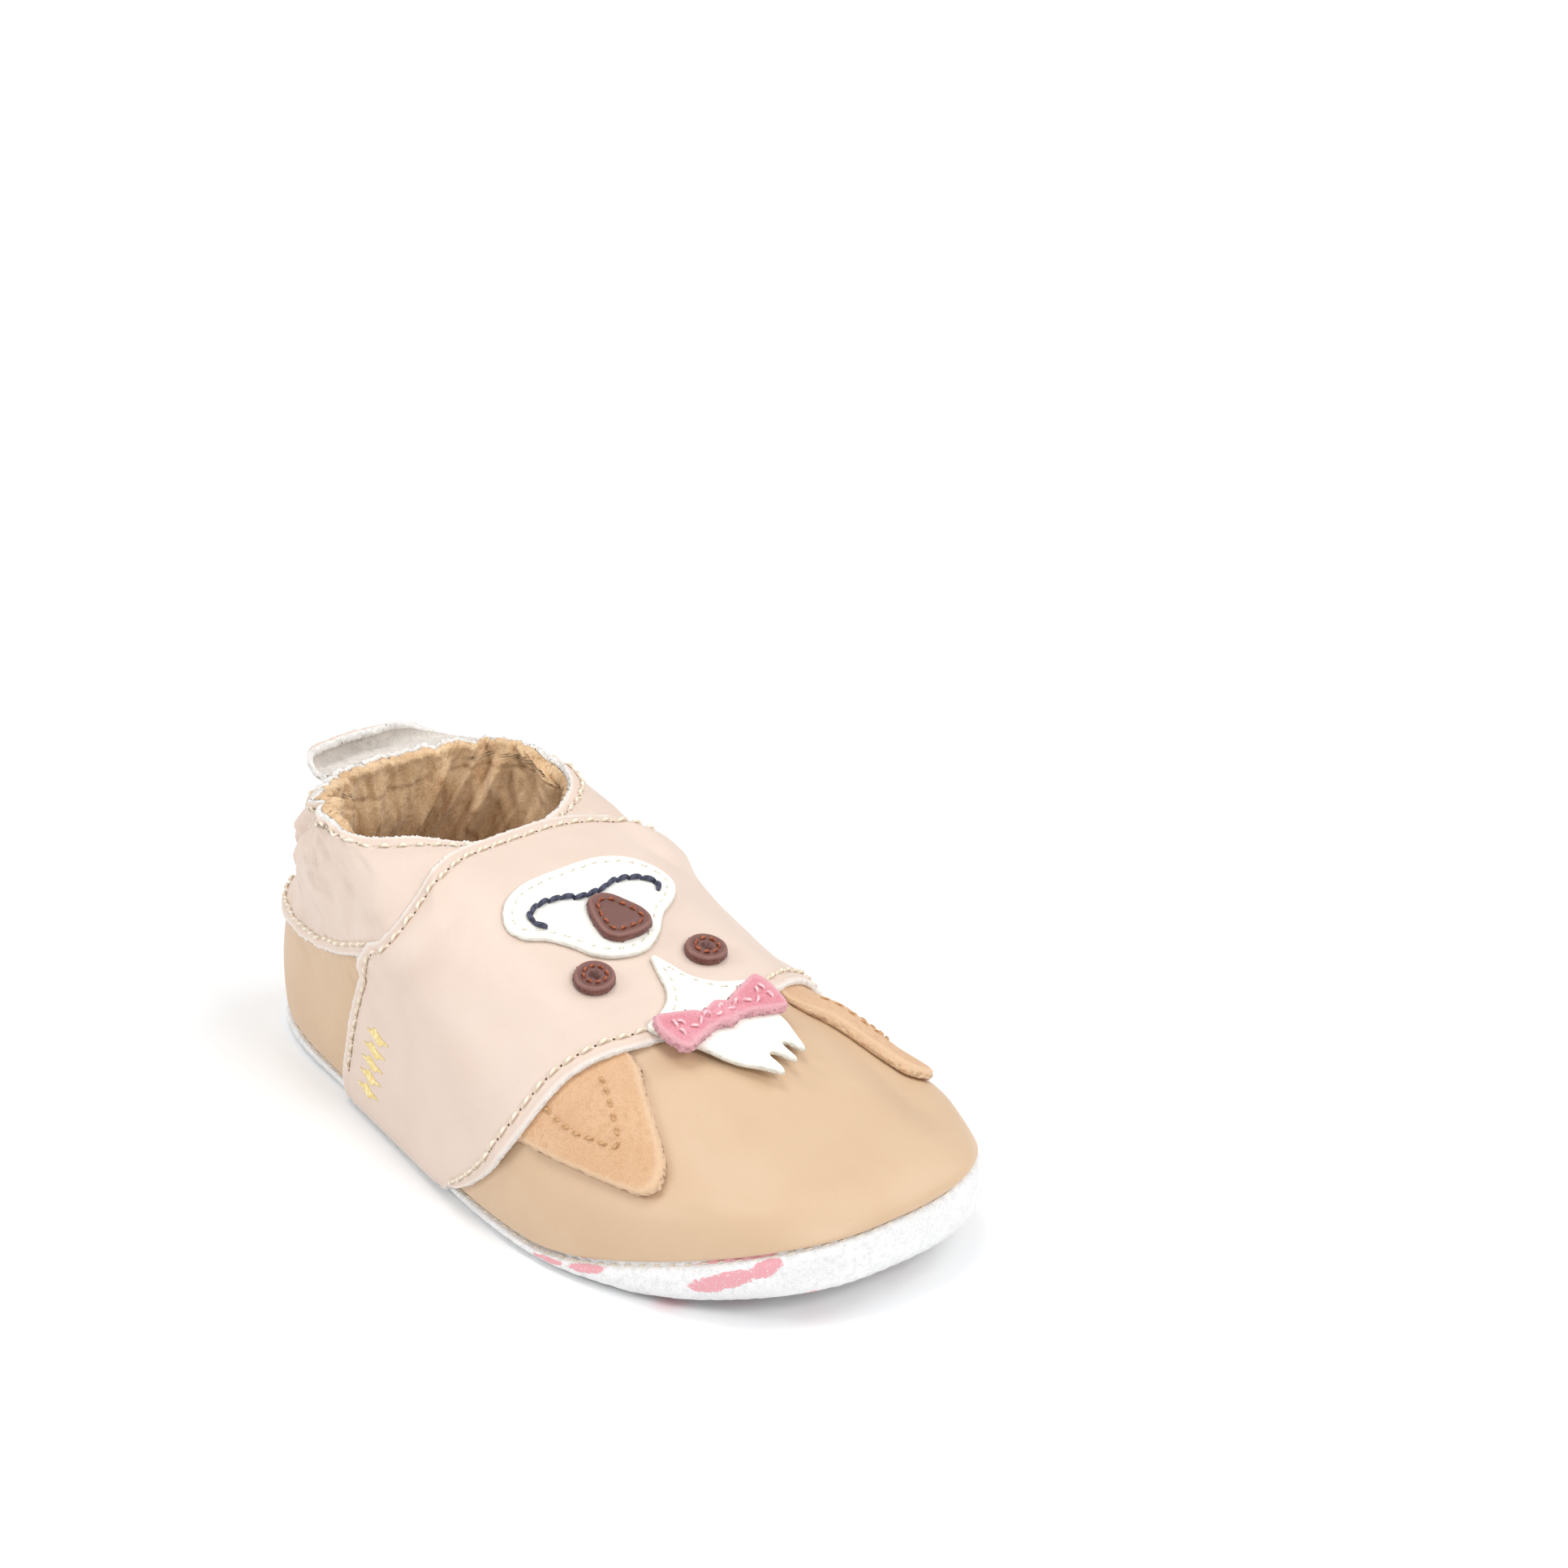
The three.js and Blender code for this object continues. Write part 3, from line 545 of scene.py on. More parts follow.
def stitches(name, line, normals, along, look, start=0.0, end=None, pitch=STITCH_PITCH,
             gap=STITCH_GAP, radius=THREAD_RADIUS, proud=0.12, sink=0.5, slant=0.06, holes=True,
             plump=0.0, body="bootie", slot=None):
    """Separate stitches along a line, each diving into the leather at both ends."""
    end = along[-1] if end is None else end
    first = math.ceil(start / pitch)
    last = int(end / pitch)
    draw = np.random.default_rng(len(name) * 7)
    steps, sides = 11, 8
    points, faces, face_looks, ply = [], [], [], []
    f = np.linspace(0, 1, steps)
    ring = np.arange(sides) * 2 * math.pi / sides
    for k in range(first, last):
        a0, a1 = k * pitch + gap / 2, (k + 1) * pitch - gap / 2
        run = mix(a0, a1, f)
        out = unit(at_run(run, along, normals))
        middle = at_run(run, along, line)
        forward = unit(np.gradient(middle, axis=0))
        side = np.cross(out, forward)
        lean = draw.normal(0, 0.05) + slant * (2 * f - 1)
        swell = np.sin(math.pi * f)
        dive = sink * (ease(0.16, 0, f) + ease(0.84, 1, f))
        middle = middle + side * lean[:, None] + out * (radius * 0.75 + proud * swell - dive)[:, None]
        thick = radius * (1 + plump * swell - 0.25 * (ease(0.25, 0, f) + ease(0.75, 1, f)))
        base = len(points) * steps * sides
        tube = (middle[:, None] + (side[:, None] * np.cos(ring)[None, :, None]
                                   + out[:, None] * np.sin(ring)[None, :, None]) * thick[:, None, None])
        points.append(tube.reshape(-1, 3))
        ply.append((run[:, None] / (5 * radius) + ring[None] / (2 * math.pi)).ravel())
        index = base + np.arange(steps * sides).reshape(steps, sides)
        around = quads(np.hstack([index, index[:, :1]]))
        faces += around.tolist() + [index[0][::-1].tolist(), index[-1].tolist()]
        face_looks += [0] * (len(around) + 2)
    total = sum(len(p) for p in points)
    # A dark disc at each stitch hole is painted shade, standing in for the shadow inside the hole.
    if holes:
        for k in range(first, last + 1):
            at = at_run(np.array([k * pitch]), along, line)[0]
            out = unit(at_run(np.array([k * pitch]), along, normals))[0]
            ahead = at_run(np.array([k * pitch + 0.1]), along, line)[0] - at
            forward = unit(ahead)
            side = np.cross(out, forward)
            oval = (forward * np.cos(ring)[:, None] * 0.24 + side * np.sin(ring)[:, None] * 0.2)
            lip = at + oval + out * 0.035
            floor = at + oval * 0.5 + out * 0.01
            points.append(np.vstack([lip, floor]))
            ply.append(np.zeros(2 * sides))
            index = total + np.arange(2 * sides).reshape(2, sides)
            total += 2 * sides
            faces += quads(np.hstack([index, index[:, :1]]))[:, ::-1].tolist() + [index[1].tolist()]
            face_looks += [1] * (sides + 1)
    made = mesh_object(name, np.vstack(points), faces, [look, "painted_hole_shade"], face_looks,
                       {"ply": np.concatenate(ply)})
    return finish_piece(made, name, body)


# ---------------------------------------------------------------- looks
def colour(red, green, blue):
    """A colour given as it is seen, 0 to 255, in the linear form that shaders take."""
    seen = np.array([red, green, blue]) / 255
    linear = np.where(seen <= 0.04045, seen / 12.92, ((seen + 0.055) / 1.055) ** 2.4)
    return (*linear.tolist(), 1.0)


def new_group(name, inputs, outputs):
    """A shader node group with its sockets, its input node and its output node."""
    group = bpy.data.node_groups.new(name, "ShaderNodeTree")
    for label, kind, value in inputs:
        socket = group.interface.new_socket(label, in_out="INPUT", socket_type=kind)
        socket.default_value = value
    for label, kind in outputs:
        group.interface.new_socket(label, in_out="OUTPUT", socket_type=kind)
    return group, group.nodes.new("NodeGroupInput"), group.nodes.new("NodeGroupOutput")


FLOAT, COLOUR = "NodeSocketFloat", "NodeSocketColor"
WHITE = (1.0, 1.0, 1.0, 1.0)


def feed(tree, socket, value):
    if isinstance(value, bpy.types.NodeSocket):
        tree.links.new(value, socket)
    else:
        socket.default_value = value


def give(tree, node, **values):
    """Feeds a node's inputs with numbers, colours or output sockets. An _ stands for a space."""
    for name, value in values.items():
        feed(tree, node.inputs[name.replace("_", " ")], value)


def put(tree, kind, settings=None, **values):
    """Adds a node."""
    made = tree.nodes.new(kind)
    for name, value in (settings or {}).items():
        setattr(made, name, value)
    give(tree, made, **values)
    return made


def sum_up(tree, operation, *values, clamp=False):
    """A Math node on sockets and numbers, as its output socket."""
    made = tree.nodes.new("ShaderNodeMath")
    made.operation = operation
    made.use_clamp = clamp
    for socket, value in zip(made.inputs, values):
        feed(tree, socket, value)
    return made.outputs[0]


def blended(tree, share, first, second, kind="MIX"):
    """A Mix node on two colours, as its output socket."""
    made = tree.nodes.new("ShaderNodeMix")
    made.data_type = "RGBA"
    made.blend_type = kind
    feed(tree, made.inputs["Factor"], share)
    feed(tree, made.inputs["A"], first)
    feed(tree, made.inputs["B"], second)
    return made.outputs["Result"]


def in_millimetres(tree):
    """The place on the object, in millimetres."""
    place = tree.nodes.new("ShaderNodeTexCoord")
    scaled = tree.nodes.new("ShaderNodeVectorMath")
    scaled.operation = "SCALE"
    scaled.inputs["Scale"].default_value = 1 / MM
    tree.links.new(place.outputs["Object"], scaled.inputs[0])
    return scaled.outputs[0]


def noise(tree, where, size, detail=2.0, roughness=0.5):
    """Noise whose features are about size millimetres wide, from 0 to 1."""
    made = put(tree, "ShaderNodeTexNoise", Vector=where, Scale=1 / size, Detail=detail,
               Roughness=roughness)
    return made.outputs["Fac"]


def spread(tree, value, low, high):
    """Stretches a value from low..high to 0..1."""
    made = put(tree, "ShaderNodeMapRange", {"interpolation_type": "SMOOTHSTEP"}, Value=value,
               From_Min=low, From_Max=high)
    return made.outputs["Result"]


def attribute(tree, name):
    return put(tree, "ShaderNodeAttribute", {"attribute_name": name}).outputs["Fac"]


def make_leather_grain():
    group, given, result = new_group("leather_grain", [
        ("Color", COLOUR, WHITE), ("Shade", COLOUR, WHITE),
        ("Pebble", FLOAT, 0.5), ("Gloss", FLOAT, 0.5),
    ], [("Color", COLOUR), ("Roughness", FLOAT), ("Height", FLOAT)])
    where = in_millimetres(group)
    cells = put(group, "ShaderNodeTexVoronoi", {"feature": "SMOOTH_F1"}, Vector=where, Scale=1.7)
    pores = noise(group, where, 0.35, 3)
    cloud = noise(group, where, 9, 3)
    cloudy = sum_up(group, "MULTIPLY", spread(group, cloud, 0.3, 0.75), 0.5)
    cloth = blended(group, cloudy, given.outputs["Color"], given.outputs["Shade"])
    pits = spread(group, pores, 0.62, 0.8)
    faint = sum_up(group, "MULTIPLY", pits, 0.25)
    speck = blended(group, faint, cloth, given.outputs["Shade"], "MULTIPLY")
    high = sum_up(group, "MULTIPLY", cells.outputs["Distance"], given.outputs["Pebble"])
    high = sum_up(group, "MULTIPLY_ADD", pores, 0.35, high)
    rough = sum_up(group, "MULTIPLY_ADD", pores, 0.16, given.outputs["Gloss"])
    give(group, result, Color=speck, Roughness=rough, Height=high)
    return group


def make_suede_nap():
    group, given, result = new_group("suede_nap", [
        ("Color", COLOUR, WHITE), ("Shade", COLOUR, WHITE),
        ("Fibre", FLOAT, 0.3), ("Brushing", FLOAT, 0.5),
    ], [("Color", COLOUR), ("Height", FLOAT)])
    where = in_millimetres(group)
    size = sum_up(group, "DIVIDE", 1.0, given.outputs["Fibre"])
    fibres = put(group, "ShaderNodeTexNoise", Vector=where, Scale=size, Detail=4.0, Roughness=0.7)
    clumps = noise(group, where, 1.1, 3)
    brushed = noise(group, where, 7, 2)
    dark = spread(group, fibres.outputs["Fac"], 0.42, 0.66)
    tufts = sum_up(group, "MULTIPLY", spread(group, clumps, 0.4, 0.7), 0.5)
    strokes = sum_up(group, "MULTIPLY", spread(group, brushed, 0.4, 0.65), given.outputs["Brushing"])
    patchy = sum_up(group, "MAXIMUM", tufts, strokes)
    share = sum_up(group, "MULTIPLY_ADD", dark, 0.55, patchy, clamp=True)
    shown = blended(group, share, given.outputs["Color"], given.outputs["Shade"])
    high = sum_up(group, "MULTIPLY_ADD", clumps, 0.8, fibres.outputs["Fac"])
    give(group, result, Color=shown, Height=high)
    return group


def make_cut_edge():
    group, given, result = new_group("cut_edge", [
        ("Color", COLOUR, WHITE), ("Edge", COLOUR, WHITE),
        ("Width", FLOAT, 0.5), ("Strength", FLOAT, 1.0),
    ], [("Color", COLOUR)])
    where = in_millimetres(group)
    ragged = sum_up(group, "MULTIPLY_ADD", noise(group, where, 0.4, 3), -0.5, attribute(group, "edge"))
    inside = sum_up(group, "DIVIDE", ragged, given.outputs["Width"])
    mask = sum_up(group, "SUBTRACT", 1.0, spread(group, inside, 0.0, 1.0))
    share = sum_up(group, "MULTIPLY", mask, given.outputs["Strength"])
    give(group, result, Color=blended(group, share, given.outputs["Color"], given.outputs["Edge"]))
    return group


def make_thread_twist_and_groove_shade():
    group, given, result = new_group("thread_twist_and_groove_shade", [
        ("Color", COLOUR, WHITE), ("Shade", COLOUR, WHITE),
    ], [("Color", COLOUR), ("Height", FLOAT)])
    turns = sum_up(group, "MULTIPLY", attribute(group, "ply"), 2 * math.pi)
    wave = sum_up(group, "MULTIPLY_ADD", sum_up(group, "SINE", turns), 0.5, 0.5)
    fibres = noise(group, in_millimetres(group), 0.12, 2)
    # Darker where the twist sinks: painted shade in the grooves between the plies. The fibre specks are
    # random tone.
    dark = sum_up(group, "SUBTRACT", 1.0, spread(group, wave, 0.05, 0.7))
    faint = sum_up(group, "MULTIPLY", dark, 0.6)
    share = sum_up(group, "MULTIPLY_ADD", fibres, 0.4, faint, clamp=True)
    shown = blended(group, share, given.outputs["Color"], given.outputs["Shade"])
    give(group, result, Color=shown, Height=sum_up(group, "MULTIPLY_ADD", fibres, 0.3, wave))
    return group


LEATHER_GRAIN = make_leather_grain()
SUEDE_NAP = make_suede_nap()
CUT_EDGE = make_cut_edge()
THREAD_TWIST_AND_GROOVE_SHADE = make_thread_twist_and_groove_shade()


def new_look(name, shown):
    """A material's node tree and Principled shader. shown is its colour where nodes aren't drawn."""
    look = bpy.data.materials.new(name)
    look.use_nodes = True
    look.diffuse_color = shown
    LOOKS[name] = look
    return look.node_tree, look.node_tree.nodes["Principled BSDF"]


def use_group(tree, group, **values):
    made = tree.nodes.new("ShaderNodeGroup")
    made.node_tree = group
    give(tree, made, **values)
    return made


def bump(tree, height, depth):
    """The normals of bump that is depth millimetres deep."""
    made = put(tree, "ShaderNodeBump", Strength=1.0, Distance=depth * MM, Height=height)
    return made.outputs["Normal"]


def leather_look(name, main, shade, worn=None, gloss=0.4, depth=0.05):
    tree, shader = new_look(name, main)
    grain = use_group(tree, LEATHER_GRAIN, Color=main, Shade=shade, Pebble=0.5, Gloss=gloss)
    shown = grain.outputs["Color"]
    if worn:
        wear = use_group(tree, CUT_EDGE, Color=shown, Edge=worn, Width=0.45, Strength=0.7)
        shown = wear.outputs["Color"]
    give(tree, shader, Base_Color=shown, Roughness=grain.outputs["Roughness"], IOR=1.46,
         Normal=bump(tree, grain.outputs["Height"], depth))


def suede_look(name, main, shade, pale=None, fibre=0.3, brushing=0.5, depth=0.12, sheen=0.25):
    tree, shader = new_look(name, main)
    nap = use_group(tree, SUEDE_NAP, Color=main, Shade=shade, Fibre=fibre, Brushing=brushing)
    shown = nap.outputs["Color"]
    if pale:
        wear = use_group(tree, CUT_EDGE, Color=shown, Edge=pale, Width=0.7, Strength=0.75)
        shown = wear.outputs["Color"]
    give(tree, shader, Base_Color=shown, Roughness=0.95, Sheen_Weight=sheen, Sheen_Roughness=0.5,
         Normal=bump(tree, nap.outputs["Height"], depth))


# The shade colour is painted shade in the thread's twist grooves, and the tone of its darker fibre specks.
def thread_look(name, main, shade):
    tree, shader = new_look(name, main)
    twist = use_group(tree, THREAD_TWIST_AND_GROOVE_SHADE, Color=main, Shade=shade)
    give(tree, shader, Base_Color=twist.outputs["Color"], Roughness=0.55,
         Normal=bump(tree, twist.outputs["Height"], 0.06))


def sole_look():
    """White suede with brushed marks printed in pink where the mesh says."""
    tree, shader = new_look("white_sole_suede", colour(246, 245, 243))
    nap = use_group(tree, SUEDE_NAP, Color=colour(255, 255, 255), Shade=colour(226, 225, 224),
                    Fibre=0.3, Brushing=0.35)
    where = in_millimetres(tree)
    tatters = noise(tree, where, 0.9, 4, 0.7)
    ragged = sum_up(tree, "MULTIPLY_ADD", tatters, 0.5, attribute(tree, "print"))
    mask = spread(tree, ragged, 0.68, 0.78)
    worn = sum_up(tree, "MULTIPLY", mask, spread(tree, noise(tree, where, 0.3, 3), 0.25, 0.42))
    pink = blended(tree, worn, nap.outputs["Color"], colour(239, 170, 178))
    give(tree, shader, Base_Color=pink, Roughness=0.95, Sheen_Weight=0.25,
         Normal=bump(tree, nap.outputs["Height"], 0.16))


def foil_look():
    """Gold foil, hot-stamped on leather and a little worn."""
    tree, shader = new_look("gold_foil", colour(246, 228, 160))
    where = in_millimetres(tree)
    flaw = spread(tree, noise(tree, where, 0.5, 3), 0.35, 0.6)
    gold = blended(tree, flaw, colour(252, 238, 178), colour(232, 206, 130))
    rough = sum_up(tree, "MULTIPLY_ADD", flaw, 0.2, 0.22)
    give(tree, shader, Base_Color=gold, Metallic=0.6, Roughness=rough,
         Normal=bump(tree, noise(tree, where, 0.35, 3), 0.02))


# Dark brown for the discs at stitch holes: painted shade, the shadow inside a needle hole.
def painted_hole_shade_look():
    tree, shader = new_look("painted_hole_shade", colour(140, 108, 84))
    cloud = noise(tree, in_millimetres(tree), 0.3, 2)
    dark = blended(tree, cloud, colour(118, 86, 64), colour(160, 128, 104))
    give(tree, shader, Base_Color=dark, Roughness=0.9)


leather_look("blush_leather", colour(226, 206, 192), colour(219, 197, 181), worn=colour(236, 224, 214))
leather_look("tan_leather", colour(212, 182, 150), colour(206, 174, 140), gloss=0.36, depth=0.035)
leather_look("cream_leather", colour(252, 251, 243), colour(247, 244, 233), gloss=0.5, depth=0.03)
leather_look("brown_leather", colour(122, 84, 78), colour(106, 70, 64), worn=colour(146, 104, 94),
             gloss=0.34, depth=0.04)
suede_look("tan_suede", colour(240, 208, 168), colour(200, 158, 112), fibre=0.34, brushing=0.55)
suede_look("raw_edge", colour(250, 247, 243), colour(222, 216, 208), fibre=0.22, brushing=0.2, sheen=0.3)
suede_look("pale_flesh", colour(226, 219, 211), colour(198, 189, 179), fibre=0.3, brushing=0.3)
suede_look("cream_edge", colour(247, 245, 236), colour(226, 220, 205), fibre=0.2, brushing=0.2)
suede_look("brown_edge", colour(134, 84, 74), colour(88, 50, 44), fibre=0.22, brushing=0.3)
suede_look("orange_suede", colour(243, 199, 156), colour(226, 174, 128), pale=colour(248, 212, 174),
           fibre=0.28, brushing=0.35, depth=0.3)
suede_look("pink_suede", colour(252, 176, 187), colour(238, 142, 156), pale=colour(252, 192, 200),
           fibre=0.4, brushing=0.6, depth=0.45)
thread_look("beige_thread", colour(250, 242, 226), colour(214, 192, 164))
thread_look("tan_thread", colour(220, 178, 128), colour(168, 120, 76))
thread_look("cream_thread", colour(250, 246, 234), colour(206, 198, 178))
thread_look("navy_thread", colour(78, 80, 104), colour(36, 38, 58))
thread_look("rust_thread", colour(190, 104, 66), colour(118, 56, 34))
thread_look("pink_thread", colour(252, 218, 222), colour(236, 168, 178))
sole_look()
foil_look()
painted_hole_shade_look()


# ---------------------------------------------------------------- panels of the upper
def even_share(path, count):
    """Values from 0 to 1 whose points on the path are evenly spaced."""
    k = np.linspace(0, 1, FINE_STEPS)
    run = reach_along(path(k), 0)
    return np.interp(np.linspace(0, run[-1], count + 1), run, k)


def crowded(count, share):
    """Values from 0 to 1 that crowd towards both ends."""
    k = np.linspace(0, 1, count + 1)
    return mix(k, (1 - np.cos(math.pi * k)) / 2, share)


def make_overlay():
    columns = even_share(lambda k: upper(*edge((104, 0.83, 1.1), 1.98 * k - 0.99)), 260)
    s, w = np.meshgrid(1.999 * columns - 0.9995, crowded(96, 0.75))
    front, rear = edge(OVERLAY_FRONT, s), edge(OVERLAY_REAR, s)
    t, v = mix(front[0], rear[0], w), mix(front[1], rear[1], w)
    plain = lay(t, v, overlay_top(t, v))
    from_front = reach_along(plain, 0)
    from_rear = from_front[-1:] - from_front
    room = ease(0.5, 2.5, from_front[-1:])
    front_run = reach_along(plain[:1], 1)[0]
    rear_run = reach_along(plain[-1:], 1)[0]
    groove = channel(from_front, front_run[None]) * room + channel(from_rear, rear_run[None]) * room
    droop = -0.25 * (bell(from_front, 0.8) + bell(from_rear, 0.8))
    hug = -0.35 * bell(from_rear, 2.0) * ease(0.55, 0.8, v)
    top = lay(t, v, overlay_top(t, v) + groove + droop + hug)
    back = lay(t, v, overlay_inside(t, v) + relief(t, v) + hug)
    piece = leather_piece("face_overlay", top, back, ["blush_leather", "raw_edge", "pale_flesh"])
    finish_piece(piece, "face_overlay")
    normals = outer_normals(top, back)
    line, out = line_at(top, normals, from_front, ROW_INSET)
    middle = front_run[-1] / 2
    for side, low, high in (("outer", 3, middle - 9), ("inner", middle + 9, front_run[-1] - 3)):
        stitches(f"overlay_front_stitching_{side}", line, out, front_run, "beige_thread", low, high)
    line, out = line_at(top[::-1], normals[::-1], from_rear[::-1], ROW_INSET)
    stitches("overlay_rear_stitching", line, out, rear_run, "beige_thread", 3, rear_run[-1] - 3)


def make_vamp():
    share = even_share(lambda k: upper(*edge((95, 0.4, 1.2), 1.8 * k - 0.9)), 260)
    rows = np.concatenate([np.linspace(0, 0.12, 22)[:-1], np.linspace(0.12, 1, 90)])
    s, w = np.meshgrid((2 * share - 1) * 80 / 90, rows)
    t, v = edge(VAMP_REAR, s)
    v = v * w
    tuck = -1.7 * ease(0.075, 0, v) ** 1.5
    top = lay(t, v, vamp_outside(t, v) + relief(t, v) + tuck)
    back = lay(t, v, vamp_outside(t, v) + relief(t, v) + tuck - LEATHER)
    piece = leather_piece("toe_vamp", top, back, ["tan_leather", "raw_edge", "tan_suede"])
    finish_piece(piece, "toe_vamp")


REAR_COLUMNS = 430
REAR_START = 0.9  # radians from the toe; columns are spaced evenly along a line from here


def quarter_end(v):
    arc = np.maximum(1 - (1.045 * v) ** 2, 0) ** (EDGE_POWER / 2)
    return np.radians(np.maximum(THROAT_ANGLE, QUARTER_FRONT_ANGLE * arc))


def rear_grid(columns, rows, low):
    """Places behind the overlay's rear edge, from a height low(t) up to the rim."""
    first, last = REAR_START, 2 * math.pi - REAR_START
    share = even_share(lambda k: upper(mix(first, last, k), 0.9), columns)
    u, w = np.meshgrid(share, rows)
    v = mix(low(mix(first, last, u)), 1, w)
    end = quarter_end(v)
    t = mix(end, 2 * math.pi - end, u)
    return t, mix(low(t), 1, w)


def make_quarter():
    rows = np.concatenate([np.linspace(0, 0.1, 12)[:-1], np.linspace(0.1, 1, 100)])
    t, v = rear_grid(REAR_COLUMNS, rows, lambda t: 0 * t)
    tuck = -0.9 * ease(0.045, 0, v)
    off = quarter_outside(t, v) + relief(t, v) + tuck
    folds = 0.8 * ripple(t * PATTERN_ROUND + v * 30, v * 20, 11, 60, 21)
    folds = folds * ease(0.2, 0.6, v) * ease(1, 0.88, v) * (1 + 1.6 * near_angle(t, 116, 28))
    top = lay(t, v, off)
    hem = 0.35 * ease(0.9, 0.925, v) - 0.25 * bell(v - 0.9, 0.006)
    slope = (5.2 * near_angle(t, 190, 62) - 0.6) * ease(1.0, 0.76, v) * ease(0.12, 0.5, v)
    back = lay(t, v, off - LEATHER - 0.2 + np.minimum(folds, 0.1) - hem - slope)
    piece = leather_piece("heel_quarter", top, back, ["tan_leather", "tan_suede", "tan_suede"],
                          roughness=0.09)
    finish_piece(piece, "heel_quarter")


def make_collar():
    t, v = rear_grid(REAR_COLUMNS, crowded(64, 0.6), collar_low)
    rise = collar_inside(t, v) + LEATHER
    plain = lay(t, v, rise + relief(t, v))
    from_low = reach_along(plain, 0)
    from_rim = from_low[-1:] - from_low
    low_run = reach_along(plain[:1], 1)[0]
    rim_run = reach_along(plain[-1:], 1)[0]
    groove = channel(from_low, low_run[None]) + channel(from_rim, rim_run[None], RIM_ROW_INSET)
    puff = 0.3 * bell(from_rim - 5, 2.2)
    droop = -0.25 * (bell(from_low, 0.8) + bell(from_rim, 0.8))
    top = lay(t, v, rise + relief(t, v) + groove + droop + puff)
    back = lay(t, v, rise + relief(t, v) - LEATHER)
    piece = leather_piece("ankle_collar", top, back, ["blush_leather", "raw_edge", "pale_flesh"],
                          roughness=0.1)
    finish_piece(piece, "ankle_collar", others=["elastic_band"])
    normals = outer_normals(top, back)
    line, out = line_at(top, normals, from_low, ROW_INSET)
    stitches("collar_bottom_stitching", line, out, low_run, "beige_thread", 12, low_run[-1] - 12)
    line, out = line_at(top[::-1], normals[::-1], from_rim[::-1], RIM_ROW_INSET)
    stitches("collar_top_stitching", line, out, rim_run, "beige_thread", 4, rim_run[-1] - 4)


# ---------------------------------------------------------------- sole
SOLE_TURN = 3.6  # how far inside the outline the sole meets the floor
SOLE_COLUMNS = 560
# Printed shapes on the sole's side: degrees, place on the section, half length and thickness.
PRINTS = [(-41, 0.4, 9, 3.0), (-31, 0.24, 4.5, 3.2), (-69, 0.26, 3.8, 3.6), (-76, 0.36, 3.2, 3.0),
          (60, 0.5, 5, 1.6)]


def sole_point(t, k):
    """The sole's section: k is 0 at the seam, 1 where it meets the floor, and 2 at the middle."""
    x, y = outline(t)
    nx, ny = outline_normal(t)
    seam = seam_height(t)
    floor = TOE_LIFT * ease(-0.28 * LENGTH, -0.52 * LENGTH, y)
    roll = np.clip(k, 0, 1)[..., None]
    controls = [(-0.55, seam + 0.35), (1.7, seam + 0.4), (1.5, mix(floor, seam, 0.04)),
                (-SOLE_TURN, floor)]
    weights = [(1 - roll) ** 3, 3 * (1 - roll) ** 2 * roll, 3 * (1 - roll) * roll ** 2, roll ** 3]
    out = sum(c[0] * w[..., 0] for c, w in zip(controls, weights))
    z = sum(c[1] * w[..., 0] for c, w in zip(controls, weights))
    out = np.where(out > 0, out * (1 - 0.85 * near_angle(t, -118, 44)), out)
    px, py = x + nx * out, y + ny * out
    inward = np.clip(k - 1, 0, 1)
    return np.stack([px * (1 - inward), py * (1 - inward), z * (1 - inward) ** 1.5], -1)


def make_sole():
    share = even_share(lambda k: upper(2 * math.pi * k, 0), SOLE_COLUMNS)
    t = 2 * math.pi * share[:-1]
    k = np.concatenate([np.linspace(0, 1, 30), 1 + np.linspace(0, 0.985, 34)[1:]])
    tt, kk = np.meshgrid(t, k)
    outer = sole_point(tt, kk)
    grain = ripple(outer[..., 0], outer[..., 1] + outer[..., 2], 3.2, 3.2, 31)
    outer[..., 2] += 0.05 * grain * ease(0.05, 0.3, kk) * ease(1.4, 0.9, kk)
    inner = outer + np.stack([0 * tt, 0 * tt, np.full_like(tt, 1.6)], -1)
    shrink = 1 - 1.5 / np.hypot(outer[..., 0], outer[..., 1]).clip(6)
    inner[..., :2] = outer[..., :2] * shrink[..., None]
    inner[0] = outer[0] - np.stack([*np.array(outline_normal(t)) * 0.9, 0 * t], -1)
    rows, count = tt.shape
    number = np.arange(rows * count).reshape(rows, count)
    wrap = np.hstack([number, number[:, :1]])
    points = np.vstack([outer.reshape(-1, 3), inner.reshape(-1, 3)])
    size = rows * count
    lip = quads(np.vstack([wrap[0] + size, wrap[0]]))[:, ::-1]
    shell = [quads(wrap)[:, ::-1], quads(wrap + size), lip]
    faces = np.vstack(shell).tolist()
    faces.append(number[-1].tolist())
    faces.append((number[-1] + size)[::-1].tolist())
    marks = np.zeros_like(tt)
    turn = np.degrees(wrapped(tt))
    for angle, height, half, thick in PRINTS:
        run = wrapped(np.radians(turn - angle)) * 34
        across = (kk - height) * 11 + 0.6 * np.sin(run * 0.5)
        marks = np.maximum(marks, 1 - np.sqrt((run / half) ** 2 + (across / thick) ** 2))
    below = ripple(outer[..., 0] + 0.4 * outer[..., 1], outer[..., 1], 22, 13, 41)
    marks = np.maximum(marks, np.where(kk > 0.75, below * 0.5 - 0.1, -1))
    fields = {"print": np.tile(marks.ravel(), 2), "edge": np.tile((5 * kk).ravel(), 2)}
    piece = mesh_object("outsole", points, faces, ["white_sole_suede"], [0] * len(faces), fields)
    finish_piece(piece, "outsole")
    line = outer[1] + [0, 0, 0.1]
    line = np.vstack([line, line[:1]])
    out = np.stack([*np.array(outline_normal(t)), 0.6 + 0 * t], -1)
    out = unit(np.vstack([out, out[:1]]))
    run = reach_along(line, 0)
    stitches("sole_seam_stitching", line, out, run, "beige_thread", pitch=2.6, gap=1.1, radius=0.13,
             proud=-0.06, holes=False)


